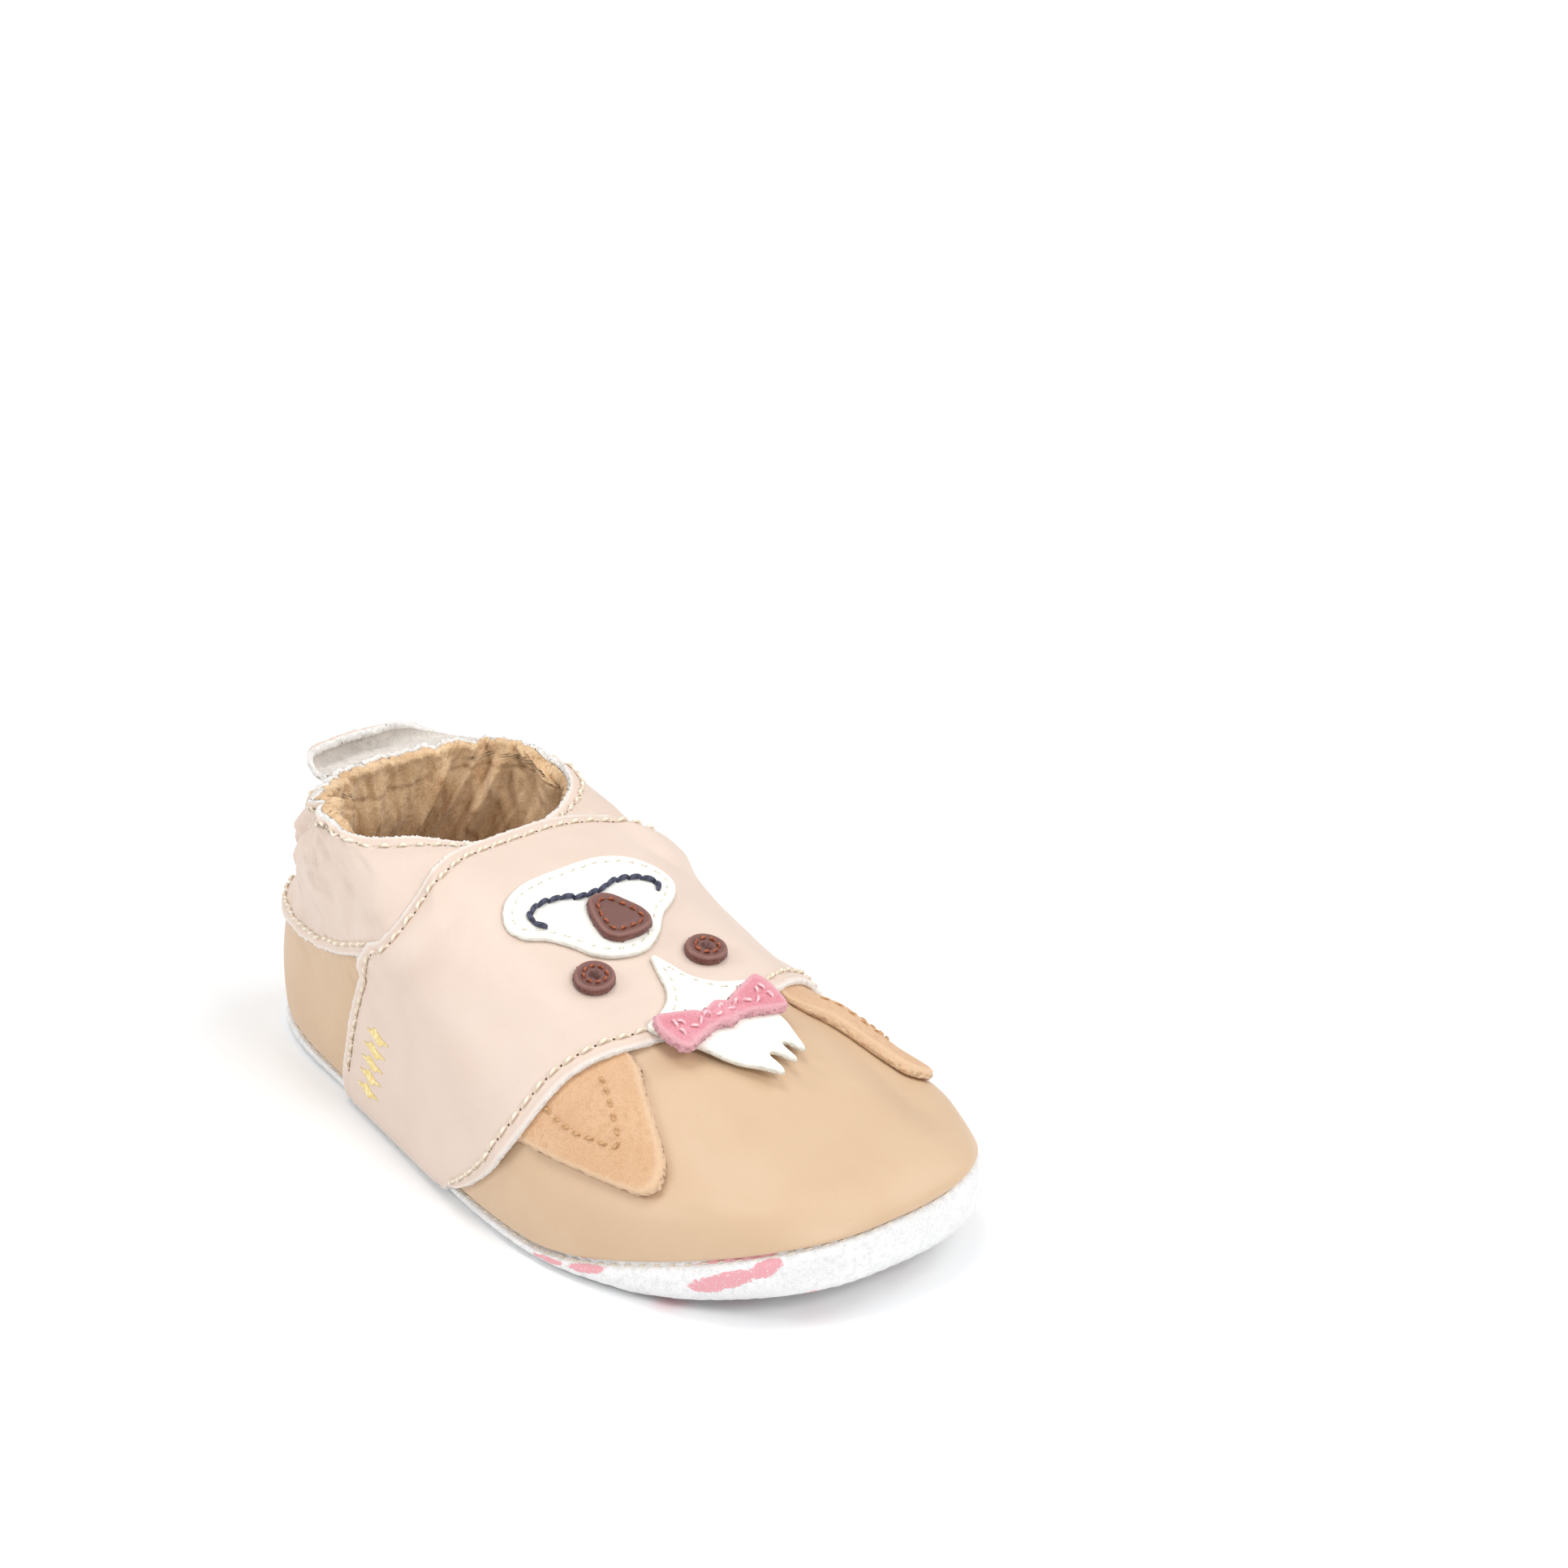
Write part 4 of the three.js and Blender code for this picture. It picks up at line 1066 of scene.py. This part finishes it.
def make_insole():
    """The padded sock that lines the sole."""
    share = even_share(lambda k: upper(2 * math.pi * k, 0), 200)
    t = 2 * math.pi * share[:-1]
    r = np.concatenate([np.linspace(0, 0.85, 40), np.linspace(0.85, 1, 14)[1:]])[::-1]
    tt, rr = np.meshgrid(t, r)
    x, y = outline(tt)
    nx, ny = outline_normal(tt)
    x, y = (x - nx * 5.7) * rr, (y - ny * 5.7) * rr
    lift = TOE_LIFT * ease(-0.15 * LENGTH, -0.5 * LENGTH, y)
    crown = 4.6 * np.sqrt(np.clip(1 - rr ** 10, 0, 1))
    top = np.stack([x, y, lift + 2.1 + crown + 0.12 * ripple(x, y, 9, 9, 51)], -1)
    bottom = np.stack([x, y, lift + 2.0 + 0 * x], -1)
    rows, count = tt.shape
    number = np.arange(rows * count).reshape(rows, count)
    wrap = np.hstack([number, number[:, :1]])
    size = rows * count
    side = quads(np.vstack([wrap[0], wrap[0] + size]))
    faces = np.vstack([quads(wrap), quads(wrap + size)[:, ::-1], side[:, ::-1]]).tolist()
    points = np.vstack([top.reshape(-1, 3), bottom.reshape(-1, 3)])
    piece = mesh_object("insole_sock", points, faces, ["tan_suede"], [0] * len(faces),
                        {"edge": np.full(len(points), 5.0)})
    finish_piece(piece, "insole_sock", others=["sole_padding"])


# ---------------------------------------------------------------- pull tab
TAB_FROM, TAB_TO = 129.0, 204.0  # along the rim, in degrees
# The tab's section from its root to its end: out and up from the rim.
TAB_PROFILE = [(0.1, -3.0), (0.5, -1.5), (2.0, -1.4), (3.9, -1.8), (5.2, -1.3), (5.9, 0.0),
               (5.3, 1.1), (4.2, 1.4)]


def spline(points, k):
    """A smooth open curve through the points, at shares k of its length."""
    points = np.asarray(points, float)
    run = np.concatenate([[0], np.cumsum(np.linalg.norm(np.diff(points, axis=0), axis=1))])
    slope = np.gradient(points, run, axis=0)
    at = np.asarray(k) * run[-1]
    i = np.clip(np.searchsorted(run, at) - 1, 0, len(run) - 2)
    h = run[i + 1] - run[i]
    f = ((at - run[i]) / h)[..., None]
    h = h[..., None]
    return ((2 * f ** 3 - 3 * f ** 2 + 1) * points[i] + (f ** 3 - 2 * f ** 2 + f) * h * slope[i]
            + (-2 * f ** 3 + 3 * f ** 2) * points[i + 1] + (f ** 3 - f ** 2) * h * slope[i + 1])


def make_tab():
    u, w = np.meshgrid(np.linspace(0, 1, 121), np.linspace(0, 1, 57))
    t = np.radians(mix(TAB_FROM, TAB_TO, u))
    full = ease(-0.12, 0.6, u) * ease(1.02, 0.86, u)
    reach = mix(0.28, 1, full) * w
    at = spline(TAB_PROFILE, reach)
    flat = unit(spline(TAB_PROFILE, reach + 1e-3) - at)
    slide = 0.05 * full * w ** 2 * ease(0.5, 1.0, u)
    out = np.stack([np.sin(t + slide), -np.cos(t + slide), 0 * t], -1)
    up = np.array([0.0, 0.0, 1.0])
    rim = np.ones_like(t)
    root = lay(t + slide, rim, relief(t + slide, rim) * (1 - 0.7 * w) + 0.5)
    wave = 0.3 * ripple(t * 22, 10 * w, 15, 30, 61) * w
    reach_out = at[..., :1] * mix(0.55, 1, full)[..., None] + wave[..., None]
    middle = root + out * reach_out + up * at[..., 1:]
    across = out * flat[..., 1:] - up * flat[..., :1]
    top = middle + across * LEATHER / 2
    back = middle - across * LEATHER / 2
    piece = leather_piece("heel_tab", top, back, ["blush_leather", "raw_edge", "pale_flesh"],
                          roughness=0.09)
    finish_piece(piece, "heel_tab", body=None)
    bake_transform(piece)


# ---------------------------------------------------------------- patches
def closed_curve(points, spacing):
    """Evenly spaced points on a smooth closed curve through the points."""
    p = np.asarray(points, float)
    gaps = np.linalg.norm(np.roll(p, -1, 0) - p, axis=1) ** 0.5
    dense = []
    for i in range(len(p)):
        p0, p1, p2, p3 = (p[(i + j) % len(p)] for j in (-1, 0, 1, 2))
        d0, d1, d2 = gaps[i - 1], gaps[i], gaps[(i + 1) % len(p)]
        m1 = ((p1 - p0) / d0 - (p2 - p0) / (d0 + d1) + (p2 - p1) / d1) * d1
        m2 = ((p2 - p1) / d1 - (p3 - p1) / (d1 + d2) + (p3 - p2) / d2) * d1
        k = np.linspace(0, 1, 24, endpoint=False)[:, None]
        dense.append((2 * k ** 3 - 3 * k ** 2 + 1) * p1 + (k ** 3 - 2 * k ** 2 + k) * m1
                     + (-2 * k ** 3 + 3 * k ** 2) * p2 + (k ** 3 - k ** 2) * m2)
    dense = np.vstack(dense)
    loop = np.vstack([dense, dense[:1]])
    run = np.concatenate([[0], np.cumsum(np.linalg.norm(np.diff(loop, axis=0), axis=1))])
    count = max(12, int(run[-1] / spacing))
    at = np.linspace(0, run[-1], count, endpoint=False)
    made = np.stack([np.interp(at, run, loop[:, 0]), np.interp(at, run, loop[:, 1])], -1)
    area = np.sum(made[:, 0] * np.roll(made[:, 1], -1) - np.roll(made[:, 0], -1) * made[:, 1])
    return made if area > 0 else made[::-1]


def loop_normals(loop):
    """Outward normals of a closed curve that runs anticlockwise."""
    along = np.roll(loop, -1, 0) - np.roll(loop, 1, 0)
    return unit(np.stack([along[:, 1], -along[:, 0]], -1))


def distance_to(loop, points):
    """How far each point lies from a closed curve."""
    a, b = loop, np.roll(loop, -1, 0)
    ab = b - a
    near = np.full(len(points), 1e9)
    for start in range(0, len(points), 2000):
        chunk = points[start:start + 2000, None]
        k = np.clip(np.sum((chunk - a) * ab, -1) / np.sum(ab * ab, -1), 0, 1)[..., None]
        near[start:start + 2000] = np.min(np.linalg.norm(chunk - (a + ab * k), axis=-1), axis=1)
    return near


def inside(loop, points):
    x, y = points[:, :1], points[:, 1:]
    a, b = loop, np.roll(loop, -1, 0)
    crosses = (a[:, 1] > y) != (b[:, 1] > y)
    climb = np.where(b[:, 1] == a[:, 1], 1e-9, b[:, 1] - a[:, 1])
    at = a[:, 0] + (y - a[:, 1]) * (b[:, 0] - a[:, 0]) / climb
    return np.sum(crosses & (x < at), axis=1) % 2 == 1


WALL_STEPS = 4


def patch(name, points, lay_at, thickness, looks, spacing=0.34, rounding=0.35, groove=None,
          fuzz=0.05, bulge=0.12):
    """A flat-cut piece laid on the upper. lay_at(xy, height) gives its points in space."""
    loop = closed_curve(points, spacing)
    out = loop_normals(loop)
    rounding = min(rounding, thickness * 0.6)
    rings = [loop]
    for depth in (0.12, 0.3, 0.6):
        ring = loop - out * depth
        rings.append(ring[distance_to(loop, ring) > depth * 0.9])
    step = spacing * 1.7
    low, high = loop.min(0), loop.max(0)
    columns = np.arange(low[0], high[0], step)
    rows = np.arange(low[1], high[1], step * 0.866)
    hexes = np.array([(x + (j % 2) * step / 2, y) for j, y in enumerate(rows) for x in columns])
    hexes = hexes[inside(loop, hexes)]
    hexes = hexes[distance_to(loop, hexes) > 0.6 + step * 0.5]
    flat = np.vstack(rings + [hexes])
    count = len(loop)
    constraint = [(i, (i + 1) % count) for i in range(count)]
    found = delaunay_2d_cdt([Vector(p) for p in flat], constraint, [], 1, 1e-5)
    flat = np.array([list(p) for p in found[0]])
    faces = np.array([f if len(f) == 3 else f[:3] for f in found[2]])
    a, b, c = (flat[faces[:, i]] for i in (0, 1, 2))
    turned = (b[:, 0] - a[:, 0]) * (c[:, 1] - a[:, 1]) - (b[:, 1] - a[:, 1]) * (c[:, 0] - a[:, 0]) < 0
    faces[turned] = faces[turned][:, ::-1]
    number = np.array([np.argmin(np.sum((flat - p) ** 2, 1)) for p in loop])
    near = distance_to(loop, flat)
    height = thickness - rounding * (1 - np.sqrt(1 - (1 - np.clip(near / rounding, 0, 1)) ** 2))
    if groove:
        height = height + groove(flat, near)
    draw = np.random.default_rng(len(name) * 3 + 1)
    top = lay_at(flat, height)
    bottom = lay_at(flat, 0 * height)
    walls = []
    for i in range(1, WALL_STEPS + 1):
        k = i / (WALL_STEPS + 1)
        at = loop + out * (bulge * math.sin(math.pi * k) + draw.normal(0, fuzz, (count, 1)))
        level = np.full(count, (thickness - rounding) * (1 - k)) + draw.normal(0, fuzz, count)
        walls.append(lay_at(at, level))
    size = len(flat)
    points3 = np.vstack([top, bottom] + walls)
    wall_numbers = [2 * size + i * count + np.arange(count) for i in range(WALL_STEPS)]
    band = np.vstack([number] + wall_numbers + [number + size])
    band = np.hstack([band, band[:, :1]])
    wall_faces = quads(band)[:, ::-1]
    all_faces = faces.tolist() + wall_faces.tolist() + (faces[:, ::-1] + size).tolist()
    face_looks = [0] * len(faces) + [1] * len(wall_faces) + [1] * len(faces)
    values = np.concatenate([near, near, np.zeros(WALL_STEPS * count)])
    return mesh_object(name, points3, all_faces, looks, face_looks, {"edge": values}), loop


def beyond_overlay(t, v):
    """The support for what hangs over the overlay's front edge, down onto the vamp."""
    forward = ease(1.0, 0.72, past(OVERLAY_FRONT, wrapped(t), v))
    return mix(overlay_top(t, v), 0.35 + relief(t, v), forward)


def on_face(base=0.0):
    """Lays a flat piece on the face, base above the leather under it."""
    def place(xy, height):
        t, v = under(xy[:, 0], xy[:, 1])
        return lay(t, v, beyond_overlay(t, v) + base + AIR + height)
    return place


def patch_row(name, loop, inset, lay_at, height, look, pitch, **shape):
    """Stitches that follow a patch's outline inside it."""
    line = loop - loop_normals(loop) * inset
    keep = distance_to(loop, line) > inset * 0.93
    line = line[keep]
    for _ in range(6):
        line = (np.roll(line, 1, 0) + 2 * line + np.roll(line, -1, 0)) / 4
    line = np.vstack([line, line[:1]])
    return face_run(name, line, lay_at, height, look, pitch, **shape)


def face_run(name, line, lay_at, height, look, pitch, **shape):
    at = lay_at(line, np.full(len(line), float(height)))
    above = lay_at(line, np.full(len(line), height + 0.5))
    run = reach_along(at, 0)
    whole = max(1, round(run[-1] / pitch))
    return stitches(name, at, unit(above - at), run, look, pitch=run[-1] / whole * 0.99999, **shape)


MUZZLE = [(-8.5, 8.0), (0, 8.4), (7.5, 8.0), (12.4, 6.2), (15, 3.2), (15.1, 0.9), (13.8, -1.1), (11.4, -3.0),
          (7.9, -5.0), (4.5, -8.0), (0.8, -9.9), (-2.2, -9.9), (-5.4, -8.9), (-7.4, -7.4), (-9.2, -4.6),
          (-11.4, -2.0), (-14.4, 0.2), (-15.3, 2.9), (-13.2, 6.0)]
NOSE = [(-1.9, 0.7), (0, 1.0), (1.7, 0.2), (3.1, -1.9), (4.2, -4.4), (3.9, -6.6), (2.0, -7.7), (-0.8, -7.8),
        (-3.1, -7.3), (-4.2, -5.9), (-4.0, -3.6), (-3.2, -1.2)]
MOUTH = [(-10.7, -0.6), (-11.6, 0.6), (-11.6, 2.3), (-10.5, 3.1), (-8.1, 3.6), (-5, 3.3), (-2, 2.3),
         (1.8, 2.2), (5.3, 2.8), (8.4, 2.5), (10.5, 1.5), (11.3, 0.2), (10.2, -0.9)]
EYES = {"outer": (-10.6, -11.1), "inner": (8.4, -13.9)}
EYE_RADIUS = 3.2
EYE_SQUASH = 0.86  # of its height to its width
EYE_ROW_RADIUS = 1.75
ROW_GROOVE_WIDTH = 0.45
TUFT = [(0, -11.6), (1.2, -14.2), (2.2, -17.4), (4.4, -20.0), (7.6, -21.6), (10.3, -22.4), (9.6, -25.6),
        (8.4, -29.0), (8.2, -32.5), (6.6, -37.2), (5.6, -34.6), (4.8, -34.4), (3.8, -38.6), (2.4, -35.4),
        (1.4, -35.4), (0.3, -39.8), (-1.6, -37.4), (-3.8, -34.6), (-5.8, -31.0), (-8.0, -27.0),
        (-10.3, -22.6), (-7.4, -21.6), (-4.4, -20.0), (-2.4, -17.4), (-1.2, -14.2)]
BOW = [(0, -24.5), (1.8, -25.0), (3.6, -24.5), (7, -23.3), (9.6, -22.6), (10.6, -24.2), (10.5, -27.2),
       (9.6, -30.0), (7, -29.6), (3.8, -28.6), (1.8, -28.4), (0, -29.0), (-1.8, -28.4), (-3.8, -28.6),
       (-7, -29.6), (-9.6, -30.0), (-10.5, -27.2), (-10.6, -24.2), (-9.6, -22.6), (-7, -23.3),
       (-3.6, -24.5), (-1.8, -25.0)]
BOW_MIDDLE = -26.5
BOW_SCALE = (0.97, 0.98)


def row_groove(inset, depth):
    return lambda flat, near: -depth * bell(near - inset, ROW_GROOVE_WIDTH)


def make_muzzle():
    place = on_face()
    piece, loop = patch("muzzle_patch", MUZZLE, place, 1.0, ["cream_leather", "cream_edge"],
                        groove=row_groove(1.2, 0.16))
    finish_piece(piece, "muzzle_patch")
    patch_row("muzzle_stitching", loop, 1.2, place, 0.82, "cream_thread", pitch=2.1, gap=0.75,
              radius=0.15, proud=0.02, holes=False)
    line = spline(MOUTH, np.linspace(0, 1, 160))
    face_run("mouth_embroidery", line, place, 1.0, "navy_thread", 2.1, gap=-0.5, radius=0.3,
             proud=0.2, plump=0.45, slant=0.16, sink=0.25, holes=False)


def make_nose():
    place = on_face(1.05)
    piece, loop = patch("nose_patch", NOSE, place, 1.4, ["brown_leather", "brown_edge"], spacing=0.26,
                        groove=row_groove(1.3, 0.22), rounding=0.3, fuzz=0.07)
    finish_piece(piece, "nose_patch")
    patch_row("nose_stitching", loop, 1.3, place, 1.22, "rust_thread", pitch=1.75, gap=0.45,
              radius=0.21, proud=0.1)


def circle(x, y, radius, count=16):
    """An eye's round outline, which lies squashed on the slope of the instep."""
    turns = [2 * math.pi * i / count for i in range(count)]
    return [(x + radius * math.cos(a), y + EYE_SQUASH * radius * math.sin(a)) for a in turns]


def make_eye(name):
    place = on_face()
    cx, cy = EYES[name]

    def awl(flat, near):
        away = np.hypot(flat[:, 0] - cx, flat[:, 1] - cy)
        return -1.35 * ease(0.95, 0.5, away) - 0.16 * bell(away - EYE_ROW_RADIUS, 0.4)

    piece = patch(f"eye_patch_{name}", circle(cx, cy, EYE_RADIUS), place, 1.4,
                  ["brown_leather", "brown_edge"], spacing=0.2, groove=awl, fuzz=0.07)[0]
    finish_piece(piece, f"eye_patch_{name}")
    ring = circle(cx, cy, EYE_ROW_RADIUS, 60)
    ring = np.array(ring + ring[:1])
    face_run(f"eye_stitching_{name}", ring, place, 1.28, "rust_thread", 1.4, gap=0.3, radius=0.22,
             proud=0.1, holes=False)


def make_tuft():
    def place(xy, height):
        curl = 1.5 * ease(-31, -40, xy[:, 1]) ** 1.5
        return on_face()(xy, height + curl)

    piece = patch("hair_tuft", TUFT, place, 1.05, ["cream_leather", "cream_edge"], spacing=0.3)[0]
    finish_piece(piece, "hair_tuft")
    line = spline([(-7.6, -23.4), (-3.6, -20.9), (-1.3, -17.6), (0, -14.2), (1.3, -17.6), (3.6, -20.9),
                   (7.6, -23.4)], np.linspace(0, 1, 120))
    face_run("hair_stitching", line, place, 1.0, "cream_thread", 2.1, gap=0.7, radius=0.15,
             proud=0.02, holes=False)


def make_bow():
    place = on_face(1.1)

    def pinch(flat, near):
        return -0.45 * bell(np.abs(flat[:, 0]) - 2.6, 0.7) + 0.25 * bell(flat[:, 0], 1.6)

    cut = [(BOW_SCALE[0] * x, BOW_MIDDLE + BOW_SCALE[1] * (y - BOW_MIDDLE)) for x, y in BOW]
    piece = patch("bow_patch", cut, place, 1.5, ["pink_suede", "pink_suede"], groove=pinch, fuzz=0.14)[0]
    finish_piece(piece, "bow_patch")
    line = spline([(-8.3, -28.3), (-7.8, -24.8), (-5.6, -27.6), (-2.9, -26.0), (-1.1, -27.2), (0, -25.7),
                   (1.1, -27.2), (2.9, -26.0), (5.6, -27.6), (7.8, -24.8), (8.3, -28.3)],
                  np.linspace(0, 1, 200))
    face_run("bow_stitching", line, place, 1.5, "pink_thread", 2.0, gap=0.5, radius=0.24,
             proud=0.12, holes=False)


# ---------------------------------------------------------------- ears
EAR_FREE = [(27.8, 0.605), (33, 0.526), (37.7, 0.438), (41.7, 0.355), (44.2, 0.319), (47.0, 0.287),
            (50.4, 0.272), (54, 0.284), (62.5, 0.32), (68.3, 0.342), (73.9, 0.356), (77.6, 0.345)]
EAR_VEE = [(41.7, 0.556), (45.4, 0.473), (47.9, 0.423), (50.1, 0.387), (55, 0.393), (59.9, 0.415),
           (64, 0.451)]
EAR_TIP = (50.4, 0.272)
EAR_RAISED = 0.5  # degrees that the inner ear stands off the toe
EAR_TUCK = 0.05  # how far behind the overlay's front edge the root runs on, as a share of the arc


def ear_pattern(places):
    return [(math.radians(angle) * PATTERN_ROUND, v * PATTERN_UP) for angle, v in places]


def ear_root_places():
    tucked = (OVERLAY_FRONT[0] * (1 + EAR_TUCK), OVERLAY_FRONT[1] * (1 + EAR_TUCK), OVERLAY_FRONT[2])
    places = []
    for s in np.linspace(EAR_ROOT[0], EAR_ROOT[1], 6):
        t, v = edge(tucked, s)
        places.append((math.degrees(-t), float(v)))
    return places


def turned(points, pivot, axis, angles):
    """Points turned about an axis through pivot, each by its own angle."""
    p = points - pivot
    c, s = np.cos(angles)[:, None], np.sin(angles)[:, None]
    return pivot + p * c + np.cross(axis, p) * s + axis * (p @ axis)[:, None] * (1 - c)


def make_ear(side, name, raised):
    joint = next(j for j in frame["joints"] if j["child"] == f"ear_{name}")
    pivot = np.array(joint["pos_m"]) / MM
    axis = np.array(joint["axis"], float)
    axis /= np.linalg.norm(axis)
    tip = lay(np.radians(side * np.array(EAR_TIP[:1])), np.array(EAR_TIP[1:]), np.zeros(1))[0]
    away = tip - pivot
    away -= axis * (away @ axis)
    away /= np.linalg.norm(away)

    def place(xy, height):
        t, v = side * xy[:, 0] / PATTERN_ROUND, xy[:, 1] / PATTERN_UP
        v = v + (0.018 if side < 0 else 0)
        front = past(OVERLAY_FRONT, t, v)
        skived = mix(1, EAR_SKIVED / EAR_THICKNESS, ease(0.82, 1.0, front))
        lift = (0.7 if side < 0 else 0.2) * ease(0.7, 0.3, front)
        flat = lay(t, v, vamp_outside(t, v) + relief(t, v) + AIR / 2 + lift + height * skived)
        reach = (flat - pivot) @ away
        return turned(flat, pivot, axis, math.radians(raised) * ease(-1.0, 5.0, reach))

    points = ear_pattern(ear_root_places()[::-1] + EAR_FREE[::-1])
    piece = patch(f"ear_{name}", points, place, EAR_THICKNESS, ["orange_suede", "orange_suede"],
                  spacing=0.36, fuzz=0.1, rounding=0.6, bulge=0.2)[0]
    finish_piece(piece, f"ear_{name}", body=None)
    line = spline(ear_pattern(EAR_VEE), np.linspace(0, 1, 120))
    row = face_run(f"ear_stitching_{name}", line, place, EAR_THICKNESS - 0.05, "tan_thread", 2.3,
                   radius=0.22, gap=0.6, proud=0.14 if side < 0 else 0.0, holes=side < 0, body=None,
                   slot="beige_thread")
    for part in (piece, row):
        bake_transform(part)


# ---------------------------------------------------------------- foil motif
FOIL_ARC = (109.6, 0.93, 1.03)
FOIL_SPAN = (-0.72, -0.895)  # along that arc
FOIL_COUNT = 5
DIAMOND = [(1.5, 0), (0.6, 0.5), (0, 1.2), (-0.6, 0.5), (-1.5, 0), (-0.6, -0.5), (0, -1.2), (0.6, -0.5)]


def make_foil():
    """A short column of gold-foil diamonds beside the overlay's rear seam."""
    def place(xy, height):
        t, v = xy[:, 0] / PATTERN_ROUND, xy[:, 1] / PATTERN_UP
        return lay(t, v, overlay_top(t, v) + 0.02 + height)

    for i, k in enumerate(np.linspace(*FOIL_SPAN, FOIL_COUNT)):
        t, v = edge(FOIL_ARC, k)
        cx, cy = float(t) * PATTERN_ROUND, float(v) * PATTERN_UP
        diamond = [(cx + dx, cy + dy) for dx, dy in DIAMOND]
        piece = patch(f"foil_diamond_{i + 1}", diamond, place, 0.06, ["gold_foil", "gold_foil"],
                      spacing=0.2, rounding=0.02, fuzz=0.0, bulge=0.0)[0]
        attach(piece, "bootie")


make_overlay()
make_vamp()
make_quarter()
make_collar()
make_sole()
make_insole()
make_tab()
make_muzzle()
make_nose()
make_eye("outer")
make_eye("inner")
make_tuft()
make_bow()
make_ear(-1, "outer", 0.0)
make_ear(1, "inner", EAR_RAISED)
make_foil()


# ---------------------------------------------------------------- floor, light and camera
# The floor, the lights and the camera are placed in metres. The lens and sensor are in millimetres.
FLOOR_SIZE = 4.0
FLOOR_DROP = 0.0002
AIM = (0, 0, 0.02)
SOFTBOXES = [  # name, place, side and watts
    ("key_softbox", (-0.1, -1.2, 0.95), 0.4, 6.7),
    ("right_softbox", (0.85, -0.4, 1.0), 0.7, 4.2),
    ("top_softbox", (-0.1, 0.2, 1.4), 0.6, 5.0),
    ("left_softbox", (-1.0, 0.5, 0.8), 0.5, 4.4),
]
WORLD_STRENGTH = 0.58
CAMERA_TURN, CAMERA_CLIMB = math.radians(-41.5), math.radians(26.0)
CAMERA_TARGET = (0, 0, 0.025)
CAMERA_DISTANCE = 1.3
CAMERA_SHIFT = (0.0268, 0.0298)  # right and up
LENS = 203.5
SENSOR_WIDTH = 36


def make_floor():
    bpy.ops.mesh.primitive_plane_add(size=FLOOR_SIZE, location=(0, 0, -FLOOR_DROP))
    floor = bpy.context.object
    floor.name = "studio_floor"
    tree, shader = new_look("studio_paper", colour(250, 250, 250))
    cloud = noise(tree, in_millimetres(tree), 60, 2)
    shade = blended(tree, cloud, colour(249, 250, 251), colour(252, 252, 252))
    give(tree, shader, Base_Color=shade, Roughness=0.9, Specular_IOR_Level=0.1)
    floor.data.materials.append(LOOKS["studio_paper"])


def make_light(name, at, size, power):
    lamp = bpy.data.lights.new(name, "AREA")
    lamp.shape = "SQUARE"
    lamp.size = size
    lamp.energy = power
    made = bpy.data.objects.new(name, lamp)
    bpy.context.scene.collection.objects.link(made)
    made.location = at
    made.rotation_euler = (Vector(AIM) - Vector(at)).to_track_quat("-Z", "Y").to_euler()


def make_world():
    world = bpy.data.worlds.new("white_studio")
    bpy.context.scene.world = world
    world.use_nodes = True
    back = world.node_tree.nodes["Background"]
    back.inputs["Color"].default_value = colour(253, 254, 255)
    back.inputs["Strength"].default_value = WORLD_STRENGTH


def make_camera():
    level = math.cos(CAMERA_CLIMB)
    back = Vector((math.sin(CAMERA_TURN) * level, -math.cos(CAMERA_TURN) * level, math.sin(CAMERA_CLIMB)))
    right = Vector((math.cos(CAMERA_TURN), math.sin(CAMERA_TURN), 0))
    top = back.cross(right)
    aside, above = CAMERA_SHIFT
    lens = bpy.data.cameras.new("camera")
    lens.lens = LENS
    lens.sensor_width = SENSOR_WIDTH
    camera = bpy.data.objects.new("camera", lens)
    bpy.context.scene.collection.objects.link(camera)
    camera.location = Vector(CAMERA_TARGET) + back * CAMERA_DISTANCE + right * aside + top * above
    camera.rotation_euler = (-back).to_track_quat("-Z", "Y").to_euler()
    bpy.context.scene.camera = camera


make_floor()
make_world()
for softbox in SOFTBOXES:
    make_light(*softbox)
make_camera()
bpy.context.scene.view_settings.view_transform = "Standard"
